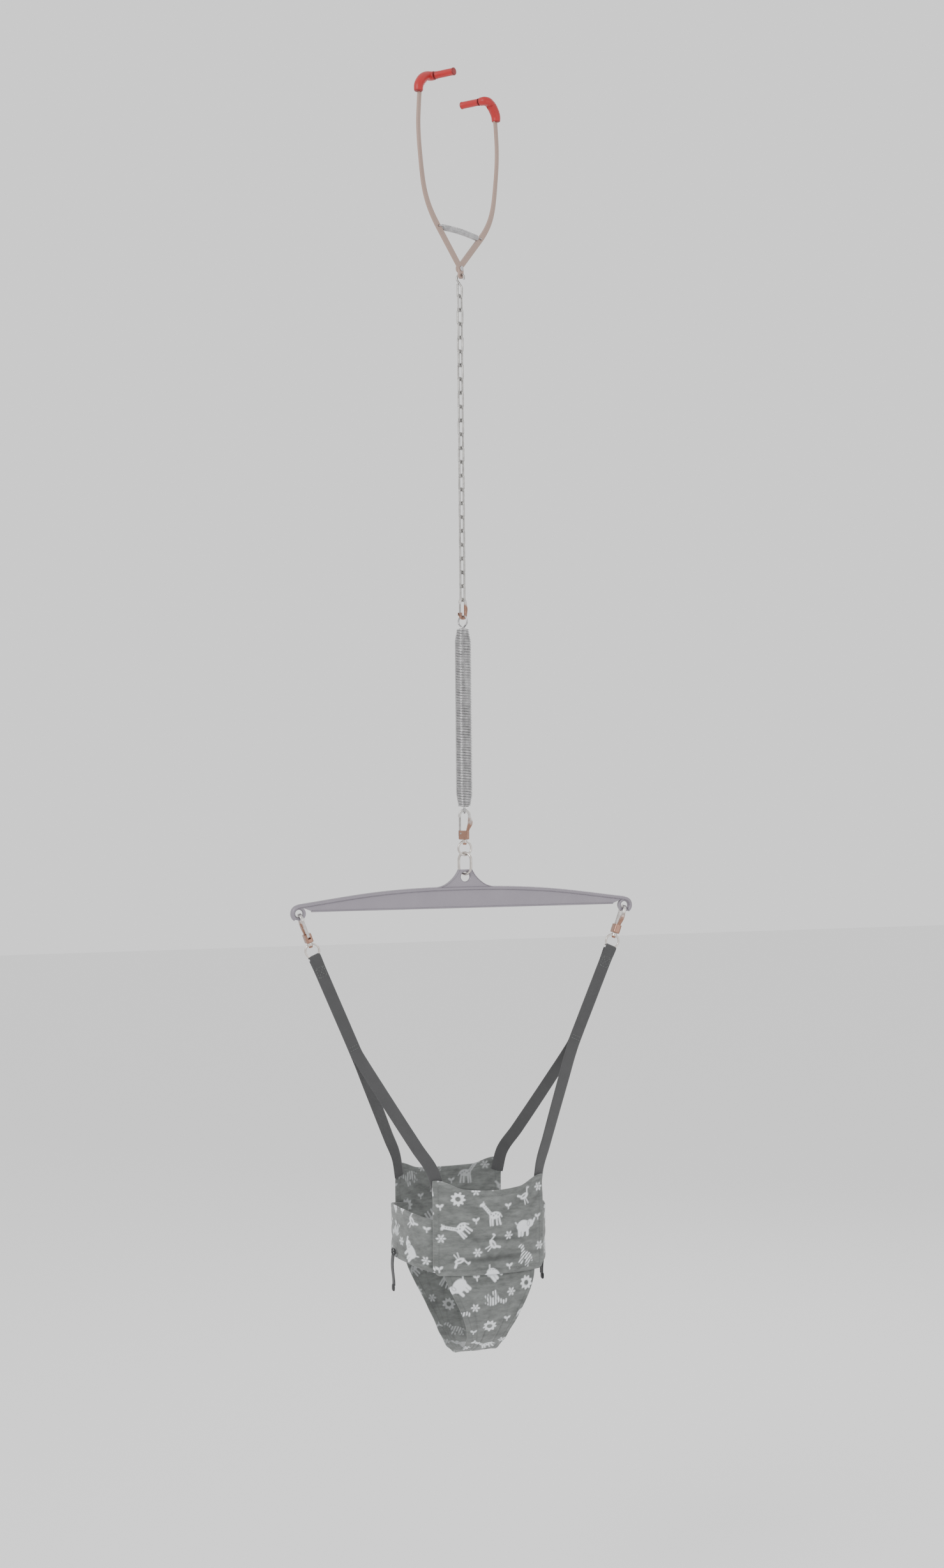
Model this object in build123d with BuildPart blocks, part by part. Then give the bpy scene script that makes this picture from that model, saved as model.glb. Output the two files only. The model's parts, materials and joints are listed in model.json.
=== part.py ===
"""Activity jumper: a door-frame clamp, a chain, a long spring, a spreader bar and a fabric saddle.

Millimetres, +Z up. The origin is on the plumb line, midway between the two clamp feet, at the height
of their soles, so everything hangs below Z = 0. X runs along the spreader bar and -Y is the front.
"""

from build123d import *
import os
from math import cos, radians, sin

# ---- headings of the hanging pieces, in degrees from +X, and the clearances ----
CLAMP_ANGLE = 35.0
CHAIN_TWIST = -10.0
CENTRE_SNAP_ANGLE = -15.0
SPRING_FOOT_ANGLE = 75.0
EYE_ANGLE = 5.0
LINK_ANGLE = 125.0
GAP = 0.3
RUNNING_FIT = 0.06

# ---- clamp ----
PIVOT_Z = -202.5
HOOK_HOLE_Z = -210.0
ARM_WIDTH = 7.2
ARM_TOP_WIDTH = 5.0
ARM_THICKNESS = 2.4
ARM_INNER_FACE = 0.2
SPRING_HOLE = (44.0, -161.0)
FOOT_OUT = 59.0
FOOT_Z = 4.7
FOOT_LENGTH = 32.0
FOOT_ROD_RADIUS = 2.5
BOOT_RADIUS = 5.5
BOOT_LENGTH = 7.5
SLEEVE_RADIUS = 4.3
BOOT_OVERHANG = 3.0
SLEEVE_CAP = 2.2
PIVOT_BOSS_RADIUS = 4.2
HOOK_TAIL_WIDTH = 8.6
HOOK_HOLE_RADIUS = 1.7
SPRING_HOLE_RADIUS = 1.3
RIVET_RADIUS = 1.5
RIVET_HEAD_RADIUS = 3.0
RIVET_HEAD_HEIGHT = 1.1
CLAMP_SPRING_RADIUS = 3.6
CLAMP_SPRING_EYE = 3.4
CLAMP_SPRING_WIRE = 0.6

# ---- hanger hook and chain ----
HOOK_WIRE = 1.2
HOOK_BOW = 3.0
CHAIN_TOP_Z = -235.5
CHAIN_LINKS = 22
CHAIN_PITCH = 15.9
CHAIN_WIRE = 1.2
CHAIN_BOW = 3.35
CHAIN_BOTTOM_Z = CHAIN_TOP_Z - CHAIN_LINKS * CHAIN_PITCH

# ---- chain snap, main spring and centre snap ----
CHAIN_SNAP_THICKNESS = 3.0
CHAIN_GATE_PIVOT = (-4.3, -15.3)
CHAIN_PIN_RADIUS = 0.6
SNAP_FOOT_Z = CHAIN_BOTTOM_Z - 20.0
SPRING_WIRE = 1.05
SPRING_LOOP = 7.0
SPRING_HEAD_Z = SNAP_FOOT_Z + 1.4 + SPRING_WIRE + GAP
COIL_TOP_Z = -617.0
COIL_BOTTOM_Z = -822.5
COIL_RADIUS = 9.65
COIL_NECK_RADIUS = 7.4
COIL_NECK_LENGTH = 18.0
CENTRE_SNAP_Z = -832.1
BOW_INNER = 4.0
BOW_OUTER = 7.4
SPRING_FOOT_Z = CENTRE_SNAP_Z + BOW_INNER - SPRING_WIRE - GAP

# ---- swivel snap hooks, measured down from the centre of the hook's bow ----
BLOCK_TOP = -17.5
BLOCK_BOTTOM = -27.7
GATE_PIVOT = (-4.9, -20.6)
SNAP_THICKNESS = 4.0
SNAP_PIN_RADIUS = 0.9
GATE_WIDTH = 2.4
POST_HEAD_RADIUS = 2.6
BOSS_RADIUS = 3.0
EYE_DROP = -37.8
EYE_RADIUS = 8.0
EYE_WIRE = 1.2
POST_RADIUS = 1.5

# ---- oblong link and spreader bar ----
LINK_WIRE = 1.5
LINK_BOW = 8.5
LINK_TOP_Z = CENTRE_SNAP_Z + EYE_DROP - EYE_RADIUS + EYE_WIRE + LINK_WIRE + GAP
EAR_HOLE_Z = -902.6
EAR_HOLE_RADIUS = 5.4
EAR_TOP_Z = -894.3
EAR_TOP_HALF = 7.5
EAR_FOOT_HALF = 36.0
LINK_FOOT_Z = EAR_HOLE_Z + EAR_HOLE_RADIUS - LINK_WIRE - 1.0
WEB_THICKNESS = 5.0
END_HOLE_X = 199.0
END_HOLE_Z = -940.0
END_HOLE_RADIUS = 4.25
LOBE_RADIUS = 7.7
LOBE_RIM_RADIUS = 7.2
RIM_HALF_WIDTH = 4.5
RIM_HALF_HEIGHT = 2.6
SHOULDER_X = END_HOLE_X - 3.0
SHOULDER_Z = END_HOLE_Z + 7.0
BAR_FOOT_X = SHOULDER_X - 12.0
BAR_BOTTOM_Z = -937.5
BAR_TOP_Z = -916.0
ARCH = (110.0, -920.6)
HOLE_ROUNDING = 2.0

# ---- harness ----
SNAP_LEAN = 20.0
SNAP_DROP = END_HOLE_RADIUS + 3.0
STRAP_WIDTH = 14.0
STRAP_THICKNESS = 1.6
STRAP_TURN = 3.2
STRAP_OVERLAP = 7.0
LAYER_GAP = 0.15
SPLIT = (133.0, -1100.0)
PANEL_THICKNESS = 3.0
PANEL_HALF_WIDTH = 66.0
PANEL_EDGE_Y = 68.0
PANEL_BULGE = 17.0
SADDLE_HALF_WIDTH = 88.0
PANEL_TOP_Z = -1242.0
SEAM_Z = -1345.0
SADDLE_BOTTOM_Z = -1447.0
WING_TOP_Z = -1281.0
CROTCH_HALF_WIDTH = 22.5
FRONT_STRAP_END = (60.0, -68.0, -1238.0)
BACK_STRAP_END = (62.0, 68.0, -1238.0)
WING_HALF_WIDTH = PANEL_HALF_WIDTH - 1.0
WING_RISE = 2.0
CROTCH_TOP_HALF_WIDTH = 62.0
BIB_SAG = 8.0
BACK_SAG = 5.0
SAG_HALF_WIDTH = 50.0
CORNER_ROUNDING = 9.0
TAIL_WIDTH = 10.5
TAIL_THICKNESS = 1.2
TAIL_STAND_OFF = 3.2
BUCKLE_HEIGHT = 7.0
TAIL_TOP_Z = -1331.0
TAIL_BOTTOM_Z = -1366.0

os.makedirs("parts", exist_ok=True)


def save(builder, name):
    """Label a finished piece and write it as its own file."""
    builder.part.label = name
    export_step(builder.part, f"parts/{name}.step")


def heading(angle):
    """The horizontal unit vector at an angle from +X."""
    return Vector(cos(radians(angle)), sin(radians(angle)), 0)


def upright_plane(angle, z=0.0):
    """A vertical plane through the plumb line: its x runs along the heading and its y is up."""
    return Plane(origin=(0, 0, z), x_dir=heading(angle), z_dir=heading(angle - 90))


def sweep_round(path, radius):
    """Sweep a round wire along a path inside the current part."""
    with BuildSketch(Plane(origin=path @ 0, z_dir=path % 0)) as section:
        Circle(radius)
    sweep(sections=section.sketch, path=path)


def wire_loop(plane, bow, half_length, radius):
    """A welded oblong link of round wire, lying in the plane and centred on its origin."""
    up = plane.y_dir * half_length
    side = plane.x_dir * bow
    with BuildPart() as loop:
        with BuildSketch(Plane(origin=plane.origin + up + side, z_dir=plane.y_dir)):
            Circle(radius)
        revolve(axis=Axis(plane.origin + up, plane.z_dir), revolution_arc=180)
        with BuildSketch(Plane(origin=plane.origin - up - side, z_dir=plane.y_dir)):
            Circle(radius)
        revolve(axis=Axis(plane.origin - up, plane.z_dir), revolution_arc=180)
        with BuildSketch(
            Plane(origin=plane.origin - up + side, z_dir=plane.y_dir),
            Plane(origin=plane.origin - up - side, z_dir=plane.y_dir),
        ):
            Circle(radius)
        extrude(amount=2 * half_length, dir=plane.y_dir)
    return loop


# ======================================================================== clamp
# The clamp is one arm used twice, the second turned half a turn about the plumb line. In an arm's
# plane x points outwards from the plumb line, y is up and z runs along the wall.
front_plane = Plane(
    origin=(0, 0, 0), x_dir=heading(CLAMP_ANGLE + 180), z_dir=heading(CLAMP_ANGLE + 90)
)
back_plane = Plane(origin=(0, 0, 0), x_dir=heading(CLAMP_ANGLE), z_dir=heading(CLAMP_ANGLE - 90))


def arm_outline():
    """The closed outline of an arm, straight from the pivot and then one long tapering curve."""
    straight = Line((0, PIVOT_Z), SPRING_HOLE, mode=Mode.PRIVATE)
    bend = Spline(
        SPRING_HOLE,
        (67.0, -130.5),
        (76.0, -94.0),
        (80.0, -45.0),
        (77.0, -14.0),
        (FOOT_OUT, FOOT_Z),
        tangents=(straight % 1, (-1.0, 0.25)),
        mode=Mode.PRIVATE,
    )
    sides = []
    for side in (-1, 1):
        edge_points = []
        for step in range(13):
            share = step / 12
            along = bend % share
            across = Vector(-along.Y, along.X) * side
            half_width = (ARM_WIDTH + (ARM_TOP_WIDTH - ARM_WIDTH) * min(1.0, 2.2 * share)) / 2
            edge_points.append(bend @ share + across * half_width)
        foot = Vector(-(straight % 0).Y, (straight % 0).X) * side * ARM_WIDTH / 2 + straight @ 0
        Line(foot, edge_points[0])
        Spline(*edge_points, tangents=(bend % 0, bend % 1))
        sides.append((foot, edge_points[-1]))
    Line(sides[0][0], sides[1][0])
    Line(sides[0][1], sides[1][1])


def clamp_arm(plane, with_tail):
    """A flat steel arm. One of the two has the tail that carries the hook."""
    with BuildPart() as arm:
        with BuildSketch(plane.offset(-ARM_INNER_FACE - ARM_THICKNESS)):
            with BuildLine():
                arm_outline()
            make_face()
            with Locations((0, PIVOT_Z)):
                Circle(PIVOT_BOSS_RADIUS)
            if with_tail:
                with Locations((0, (PIVOT_Z + HOOK_HOLE_Z) / 2)):
                    SlotCenterToCenter(PIVOT_Z - HOOK_HOLE_Z, HOOK_TAIL_WIDTH, rotation=90)
                with Locations((0, HOOK_HOLE_Z)):
                    Circle(HOOK_HOLE_RADIUS, mode=Mode.SUBTRACT)
            with Locations((0, PIVOT_Z)):
                Circle(RIVET_RADIUS + RUNNING_FIT, mode=Mode.SUBTRACT)
            with Locations(SPRING_HOLE):
                Circle(SPRING_HOLE_RADIUS, mode=Mode.SUBTRACT)
        extrude(amount=ARM_THICKNESS)
    return arm


def foot_bar(plane):
    """The round steel foot welded across the end of an arm, lying along the wall."""
    with BuildPart() as bar:
        with BuildSketch(plane.offset(-ARM_INNER_FACE - ARM_THICKNESS - FOOT_LENGTH)):
            with Locations((FOOT_OUT, FOOT_Z)):
                Circle(FOOT_ROD_RADIUS)
        extrude(amount=FOOT_LENGTH)
        chamfer(bar.edges().group_by(Axis(plane.origin, plane.z_dir))[0], 0.8)
    return bar


def rubber_grips(plane, arm, bar):
    """Two soft mouldings on a foot: an elbow boot with a flat sole, and a slimmer end sleeve."""
    arm_face = -ARM_INNER_FACE - ARM_THICKNESS
    with BuildPart() as grips:
        with BuildSketch(plane.offset(arm_face - BOOT_LENGTH)):
            with Locations((FOOT_OUT, FOOT_Z)):
                Circle(BOOT_RADIUS)
        extrude(amount=BOOT_LENGTH + ARM_THICKNESS + BOOT_OVERHANG)
        with BuildSketch(plane.offset(arm_face - BOOT_OVERHANG)):
            with BuildLine() as elbow:
                Spline(
                    (FOOT_OUT, FOOT_Z), (71.5, -5.0), (77.0, -14.0), tangents=((1.0, -0.25), (0.35, -1.0))
                )
            trace(lines=elbow.line, line_width=ARM_TOP_WIDTH + 4.4)
        extrude(amount=ARM_THICKNESS + 2 * BOOT_OVERHANG)
        fillet(grips.edges().group_by(Axis(plane.origin, plane.z_dir))[-1], 1.5)
        with BuildSketch(plane.offset(arm_face - FOOT_LENGTH - SLEEVE_CAP)):
            with Locations((FOOT_OUT, FOOT_Z)):
                Circle(SLEEVE_RADIUS)
        extrude(amount=FOOT_LENGTH + SLEEVE_CAP - BOOT_LENGTH - 1.0)
        fillet(grips.edges().group_by(Axis(plane.origin, plane.z_dir))[0], 1.2)
        with BuildSketch(plane.offset(arm_face - FOOT_LENGTH - 5.0)):
            with Locations((FOOT_OUT - 4.8, -5.0)):
                Rectangle(16.0, 10.0)
        extrude(amount=FOOT_LENGTH + 20.0, mode=Mode.SUBTRACT)
        add(arm.part, mode=Mode.SUBTRACT)
        add(bar.part, mode=Mode.SUBTRACT)
    return grips


front_clamp_arm = clamp_arm(front_plane, with_tail=True)
back_clamp_arm = clamp_arm(back_plane, with_tail=False)
front_foot_bar = foot_bar(front_plane)
back_foot_bar = foot_bar(back_plane)
front_rubber_grips = rubber_grips(front_plane, front_clamp_arm, front_foot_bar)
back_rubber_grips = rubber_grips(back_plane, back_clamp_arm, back_foot_bar)
save(front_clamp_arm, "front_clamp_arm")
save(back_clamp_arm, "back_clamp_arm")
save(front_foot_bar, "front_foot_bar")
save(back_foot_bar, "back_foot_bar")
save(front_rubber_grips, "front_rubber_grips")
save(back_rubber_grips, "back_rubber_grips")

# The rivet through both arms: a shank and two domed heads, clear of the faces that turn.
rivet_reach = ARM_INNER_FACE + ARM_THICKNESS + 0.1
with BuildPart() as pivot_rivet:
    with BuildSketch(front_plane.offset(-rivet_reach)):
        with Locations((0, PIVOT_Z)):
            Circle(RIVET_RADIUS)
    extrude(amount=2 * rivet_reach)
    with BuildSketch(front_plane.offset(rivet_reach), front_plane.offset(-rivet_reach - RIVET_HEAD_HEIGHT)):
        with Locations((0, PIVOT_Z)):
            Circle(RIVET_HEAD_RADIUS)
    extrude(amount=RIVET_HEAD_HEIGHT, dir=front_plane.z_dir)
    fillet(pivot_rivet.edges().group_by(Axis(front_plane.origin, front_plane.z_dir))[0], 0.7)
    fillet(pivot_rivet.edges().group_by(Axis(front_plane.origin, front_plane.z_dir))[-1], 0.7)
save(pivot_rivet, "pivot_rivet")

# The return spring pulls the two arms together: a tapered sleeve stands for the close-wound coil,
# with an eye at each end through the arm's hole.
spring_reach = SPRING_HOLE[0] - 2 * CLAMP_SPRING_EYE
with BuildPart() as clamp_spring:
    with BuildSketch(front_plane):
        with BuildLine():
            Polyline(
                (-spring_reach, SPRING_HOLE[1]),
                (-spring_reach, SPRING_HOLE[1] + 0.8),
                (-spring_reach + 4.0, SPRING_HOLE[1] + CLAMP_SPRING_RADIUS),
                (spring_reach - 4.0, SPRING_HOLE[1] + CLAMP_SPRING_RADIUS),
                (spring_reach, SPRING_HOLE[1] + 0.8),
                (spring_reach, SPRING_HOLE[1]),
                close=True,
            )
        make_face()
    revolve(axis=Axis((0, 0, SPRING_HOLE[1]), front_plane.x_dir))
    for plane in (front_plane, back_plane):
        eye_centre = (
            plane.x_dir * (SPRING_HOLE[0] - CLAMP_SPRING_EYE)
            - plane.z_dir * (ARM_INNER_FACE + ARM_THICKNESS / 2)
            + Vector(0, 0, SPRING_HOLE[1])
        )
        with BuildSketch(Plane(origin=eye_centre + plane.x_dir * CLAMP_SPRING_EYE, z_dir=plane.z_dir)):
            Circle(CLAMP_SPRING_WIRE)
        revolve(axis=Axis(eye_centre, (0, 0, 1)))
save(clamp_spring, "clamp_spring")

# ================================================================== hanger hook
# An S-hook of round wire in the plane along the wall: a square top bow through the arm's tail, a
# shank that crosses over, and a deep open bow for the chain.
hook_plane = upright_plane(CLAMP_ANGLE + 90)
tail_centre = ARM_INNER_FACE + ARM_THICKNESS / 2
with BuildPart() as hanger_hook:
    with BuildLine(hook_plane) as hook_path:
        FilletPolyline(
            (-tail_centre - 4.6, HOOK_HOLE_Z - 5.5),
            (-tail_centre - 4.6, HOOK_HOLE_Z),
            (-tail_centre + 5.2, HOOK_HOLE_Z),
            (-tail_centre + 5.2, HOOK_HOLE_Z - 5.0),
            (-HOOK_BOW, HOOK_HOLE_Z - 14.0),
            (-HOOK_BOW, CHAIN_TOP_Z),
            (HOOK_BOW, CHAIN_TOP_Z),
            (HOOK_BOW, HOOK_HOLE_Z - 9.5),
            radius=2.3,
        )
    sweep_round(hook_path.line, HOOK_WIRE)
save(hanger_hook, "hanger_hook")

# ======================================================================== chain
# Each link hangs in the one above it and lies square to it, with a slow twist down the chain.
link_half_length = (CHAIN_PITCH + 2 * CHAIN_WIRE + GAP) / 2 - CHAIN_BOW
for number in range(1, CHAIN_LINKS + 1):
    level = CHAIN_TOP_Z - (number - 0.5) * CHAIN_PITCH + (2 * CHAIN_WIRE + GAP) / 2
    turn = CLAMP_ANGLE + 90 * (number - 1) + CHAIN_TWIST * number / CHAIN_LINKS
    chain_link = wire_loop(upright_plane(turn, level), CHAIN_BOW, link_half_length, CHAIN_WIRE)
    save(chain_link, f"chain_link_{number:02d}")

# =================================================================== chain snap
# A flat oval snap joins the last link to the spring. Its spine is on one side, its gate on the other.
chain_snap_angle = CLAMP_ANGLE + CHAIN_TWIST
chain_snap_plane = upright_plane(chain_snap_angle, CHAIN_BOTTOM_Z)
with BuildPart() as chain_snap_body:
    with BuildSketch(chain_snap_plane.offset(-CHAIN_SNAP_THICKNESS / 2)):
        with BuildLine():
            Line((-3.0, -1.5), (-3.0, -3.2))
            Line((-3.0, -3.2), (-5.6, -3.2))
            Line((-5.6, -3.2), (-5.6, -1.5))
            ThreePointArc((-5.6, -1.5), (0.0, 4.1), (5.6, -1.5))
            Spline((5.6, -1.5), (7.0, -8.0), (6.0, -15.6), tangents=((0.0, -1.0), (-0.2, -1.0)))
            ThreePointArc((6.0, -15.6), (0.0, -21.4), (-5.6, -15.6))
            Line((-5.6, -15.6), (-5.6, -14.0))
            Line((-5.6, -14.0), (-3.0, -14.0))
            Line((-3.0, -14.0), (-3.0, -15.6))
            ThreePointArc((-3.0, -15.6), (0.0, -18.6), (3.0, -15.6))
            Line((3.0, -15.6), (3.0, -1.5))
            ThreePointArc((3.0, -1.5), (0.0, 1.5), (-3.0, -1.5))
        make_face()
    extrude(amount=CHAIN_SNAP_THICKNESS)
    fillet(chain_snap_body.edges().filter_by(Axis.Z, reverse=True), 0.7)
    with BuildSketch(chain_snap_plane.offset(-2.0)):
        with Locations((-4.3, -15.2)):
            Rectangle(3.4, 3.4)
    extrude(amount=4.0)
    with BuildSketch(chain_snap_plane.offset(-0.9)):
        with Locations((-4.3, -14.6)):
            Rectangle(4.2, 4.0)
    extrude(amount=1.8, mode=Mode.SUBTRACT)
    with BuildSketch(chain_snap_plane.offset(-3.0)):
        with Locations(CHAIN_GATE_PIVOT):
            Circle(CHAIN_PIN_RADIUS + RUNNING_FIT)
    extrude(amount=6.0, mode=Mode.SUBTRACT)
save(chain_snap_body, "chain_snap_body")

with BuildPart() as chain_snap_gate:
    with BuildSketch(chain_snap_plane.offset(-0.7)):
        with Locations(CHAIN_GATE_PIVOT):
            Circle(1.0)
        with Locations((-4.3, -9.4)):
            Rectangle(2.0, 11.6)
    extrude(amount=1.4)
    with BuildSketch(chain_snap_plane.offset(-2.1)):
        with Locations(CHAIN_GATE_PIVOT):
            Circle(CHAIN_PIN_RADIUS)
    extrude(amount=4.2)
save(chain_snap_gate, "chain_snap_gate")

# ================================================================== main spring
# The coil is stood for by a sleeve of its outside and inside radius with drawn-in ends. The end
# loops are teardrops of the spring wire whose stems sit inside the drawn-in coils.
with BuildPart() as spring_coil:
    wire = 2 * SPRING_WIRE
    with BuildSketch(Plane.XZ):
        with BuildLine():
            Polyline(
                (COIL_NECK_RADIUS, COIL_TOP_Z),
                (COIL_RADIUS, COIL_TOP_Z - COIL_NECK_LENGTH),
                (COIL_RADIUS, COIL_BOTTOM_Z + COIL_NECK_LENGTH),
                (COIL_NECK_RADIUS, COIL_BOTTOM_Z),
                (COIL_NECK_RADIUS - wire, COIL_BOTTOM_Z),
                (COIL_RADIUS - wire, COIL_BOTTOM_Z + COIL_NECK_LENGTH),
                (COIL_RADIUS - wire, COIL_TOP_Z - COIL_NECK_LENGTH),
                (COIL_NECK_RADIUS - wire, COIL_TOP_Z),
                close=True,
            )
        make_face()
    revolve(axis=Axis.Z)
save(spring_coil, "spring_coil")


def end_loop(plane, stem_z):
    """A teardrop loop in a plane whose origin is the wire's centre at the loop's far end."""
    stem = abs(stem_z)
    with BuildPart() as loop:
        with BuildLine(plane) as path:
            FilletPolyline(
                (-1.5, -stem),
                (-1.5, -stem + 1.5),
                (-SPRING_LOOP, -SPRING_LOOP - 1.5),
                (-SPRING_LOOP, 0),
                (SPRING_LOOP, 0),
                (SPRING_LOOP, -SPRING_LOOP - 1.5),
                (1.5, -stem + 1.5),
                (1.5, -stem),
                radius=[1.5, 3.0, SPRING_LOOP - 0.3, SPRING_LOOP - 0.3, 3.0, 1.5],
            )
        sweep_round(path.line, SPRING_WIRE)
        with BuildSketch(Plane(origin=plane.origin - plane.y_dir * stem, z_dir=-plane.y_dir)):
            Circle(COIL_NECK_RADIUS - 2 * SPRING_WIRE - 0.5)
        extrude(amount=1.8)
    return loop


spring_head_plane = upright_plane(chain_snap_angle + 90, SPRING_HEAD_Z)
spring_top_loop = end_loop(spring_head_plane, SPRING_HEAD_Z - COIL_TOP_Z)
save(spring_top_loop, "spring_top_loop")

with BuildPart() as spring_bottom_loop:
    bow = COIL_NECK_RADIUS - SPRING_WIRE - 0.85
    with BuildLine(upright_plane(SPRING_FOOT_ANGLE, SPRING_FOOT_Z)) as foot_path:
        Line((-bow, COIL_BOTTOM_Z - GAP - SPRING_FOOT_Z), (-bow, bow))
        ThreePointArc((-bow, bow), (0, 0), (bow, bow))
        Line((bow, bow), (bow, COIL_BOTTOM_Z - GAP - SPRING_FOOT_Z))
    sweep_round(foot_path.line, SPRING_WIRE)
save(spring_bottom_loop, "spring_bottom_loop")

# =========================================================== swivel snap hooks
def snap_body(plane):
    """A cast snap hook. The plane's origin is the centre of the bow, x points to the spine, y is up."""
    with BuildPart() as body:
        with BuildSketch(plane.offset(-SNAP_THICKNESS / 2)):
            with BuildLine():
                Line((-BOW_OUTER, -1.6), (-BOW_OUTER, 0))
                ThreePointArc((-BOW_OUTER, 0), (0, BOW_OUTER), (BOW_OUTER, 0))
                Spline(
                    (BOW_OUTER, 0), (9.3, -6.0), (8.0, -12.5), (5.0, BLOCK_TOP - 1.0),
                    tangents=((0.0, -1.0), (-0.3, -1.0)),
                )
                Line((5.0, BLOCK_TOP - 1.0), (1.6, BLOCK_TOP - 1.0))
                Spline(
                    (1.6, BLOCK_TOP - 1.0), (3.6, -9.0), (BOW_INNER, 0),
                    tangents=((0.2, 1.0), (0.0, 1.0)),
                )
                ThreePointArc((BOW_INNER, 0), (0, BOW_INNER), (-BOW_INNER, 0))
                Line((-BOW_INNER, 0), (-BOW_INNER, -1.6))
                Line((-BOW_INNER, -1.6), (-BOW_OUTER, -1.6))
            make_face()
        extrude(amount=SNAP_THICKNESS)
        upper = body.edges().filter_by(
            lambda edge: (edge.center() - plane.origin).dot(plane.y_dir) > BLOCK_TOP
        )
        faces_axis = Axis(plane.origin, plane.z_dir)
        fillet(upper.group_by(faces_axis)[0] + upper.group_by(faces_axis)[-1], 0.9)
        block_top = plane.origin + plane.y_dir * BLOCK_TOP
        with BuildSketch(Plane(origin=block_top, x_dir=plane.x_dir, z_dir=-plane.y_dir)):
            with Locations((-0.9, 0)):
                RectangleRounded(12.2, 8.4, 2.4)
        extrude(amount=BLOCK_TOP - BLOCK_BOTTOM)
        fillet(body.edges().group_by(Axis(plane.origin, plane.y_dir))[0], 1.2)
        with BuildSketch(plane.offset(-1.7)):
            with Locations((-6.0, (BLOCK_TOP - 23.4) / 2)):
                Rectangle(6.6, 23.4 + BLOCK_TOP)
        extrude(amount=3.4, mode=Mode.SUBTRACT)
        with BuildSketch(plane.offset(-6.0)):
            with Locations(GATE_PIVOT):
                Circle(SNAP_PIN_RADIUS + RUNNING_FIT)
        extrude(amount=12.0, mode=Mode.SUBTRACT)
        post_top = plane.origin + plane.y_dir * (BLOCK_BOTTOM + 0.5)
        with BuildSketch(Plane(origin=post_top, z_dir=-plane.y_dir)):
            Circle(POST_RADIUS)
        extrude(amount=6.0)
        head_top = plane.origin + plane.y_dir * -31.9
        with BuildSketch(Plane(origin=head_top, z_dir=-plane.y_dir)):
            Circle(POST_HEAD_RADIUS)
        extrude(amount=1.9, taper=18)
    return body


def snap_gate(plane):
    """The spring gate of a snap hook with the pin it turns on."""
    with BuildPart() as gate:
        with BuildSketch(plane.offset(-1.5)):
            with Locations(GATE_PIVOT):
                Circle(1.6)
            with Locations((-5.4, (GATE_PIVOT[1] - 2.0) / 2)):
                Rectangle(GATE_WIDTH, -2.0 - GATE_PIVOT[1])
        extrude(amount=3.0)
        with BuildSketch(plane.offset(-4.1)):
            with Locations(GATE_PIVOT):
                Circle(SNAP_PIN_RADIUS)
        extrude(amount=8.2)
    return gate


def swivel_eye(plane, eye_dir):
    """The round eye under a snap hook, with a drilled boss that turns on the hook's post."""
    centre = plane.origin + plane.y_dir * EYE_DROP
    with BuildPart() as eye:
        with BuildSketch(Plane(origin=centre + eye_dir * EYE_RADIUS, z_dir=plane.y_dir)):
            Circle(EYE_WIRE)
        revolve(axis=Axis(centre, eye_dir.cross(plane.y_dir)))
        boss_top = plane.origin + plane.y_dir * (BLOCK_BOTTOM - 0.4)
        with BuildSketch(Plane(origin=boss_top, z_dir=-plane.y_dir)):
            Circle(BOSS_RADIUS)
        extrude(amount=3.4)
        with BuildSketch(Plane(origin=boss_top, z_dir=-plane.y_dir)):
            Circle(POST_RADIUS + RUNNING_FIT)
        extrude(amount=4.5, mode=Mode.SUBTRACT)
    return eye


centre_snap_plane = upright_plane(CENTRE_SNAP_ANGLE, CENTRE_SNAP_Z)
save(snap_body(centre_snap_plane), "centre_snap_body")
save(snap_gate(centre_snap_plane), "centre_snap_gate")
save(swivel_eye(centre_snap_plane, heading(EYE_ANGLE)), "centre_swivel_eye")

# ================================================================= oblong link
link_half = (LINK_TOP_Z - LINK_FOOT_Z) / 2
oblong_plane = upright_plane(LINK_ANGLE, (LINK_TOP_Z + LINK_FOOT_Z) / 2)
save(wire_loop(oblong_plane, LINK_BOW, link_half - LINK_BOW, LINK_WIRE), "oblong_link")

# ================================================================ spreader bar
# A cast bar: a web with a heavy rounded rim over its arched top and round its end lobes, a lighter
# rim along its straight bottom, and an ear in the middle with its own raised edge.


def top_rim_half(side):
    """Half of the top rim's line, from the ear's foot out along the arch and round a lobe."""
    crest = Spline(
        (0, BAR_TOP_Z),
        (side * ARCH[0], ARCH[1]),
        (side * SHOULDER_X, END_HOLE_Z + LOBE_RIM_RADIUS + 1.2),
        tangents=((side * 1.0, 0.0), (side * 1.0, -0.13)),
    )
    Spline(
        crest @ 1,
        (side * (END_HOLE_X + LOBE_RIM_RADIUS), END_HOLE_Z + 0.5),
        (side * (END_HOLE_X + 4.4), END_HOLE_Z - 5.9),
        tangents=(crest % 1, (side * -0.8, -0.6)),
    )


def ear_flank(side):
    """One hollow flank of the ear, from its flat top down onto the bar."""
    Spline(
        (side * EAR_TOP_HALF, EAR_TOP_Z),
        (side * 11.5, -901.0),
        (side * 18.0, -907.6),
        (side * EAR_FOOT_HALF, BAR_TOP_Z + 1.0),
        tangents=((side * 0.5, -1.0), (side * 1.0, -0.12)),
    )


def rim(path, half_width, half_height):
    """A rim of oval section along a path in the bar's plane."""
    with BuildSketch(Plane(origin=path @ 0, x_dir=(0, 1, 0), z_dir=path % 0)) as section:
        Ellipse(half_width, half_height)
    sweep(sections=section.sketch, path=path)


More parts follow.
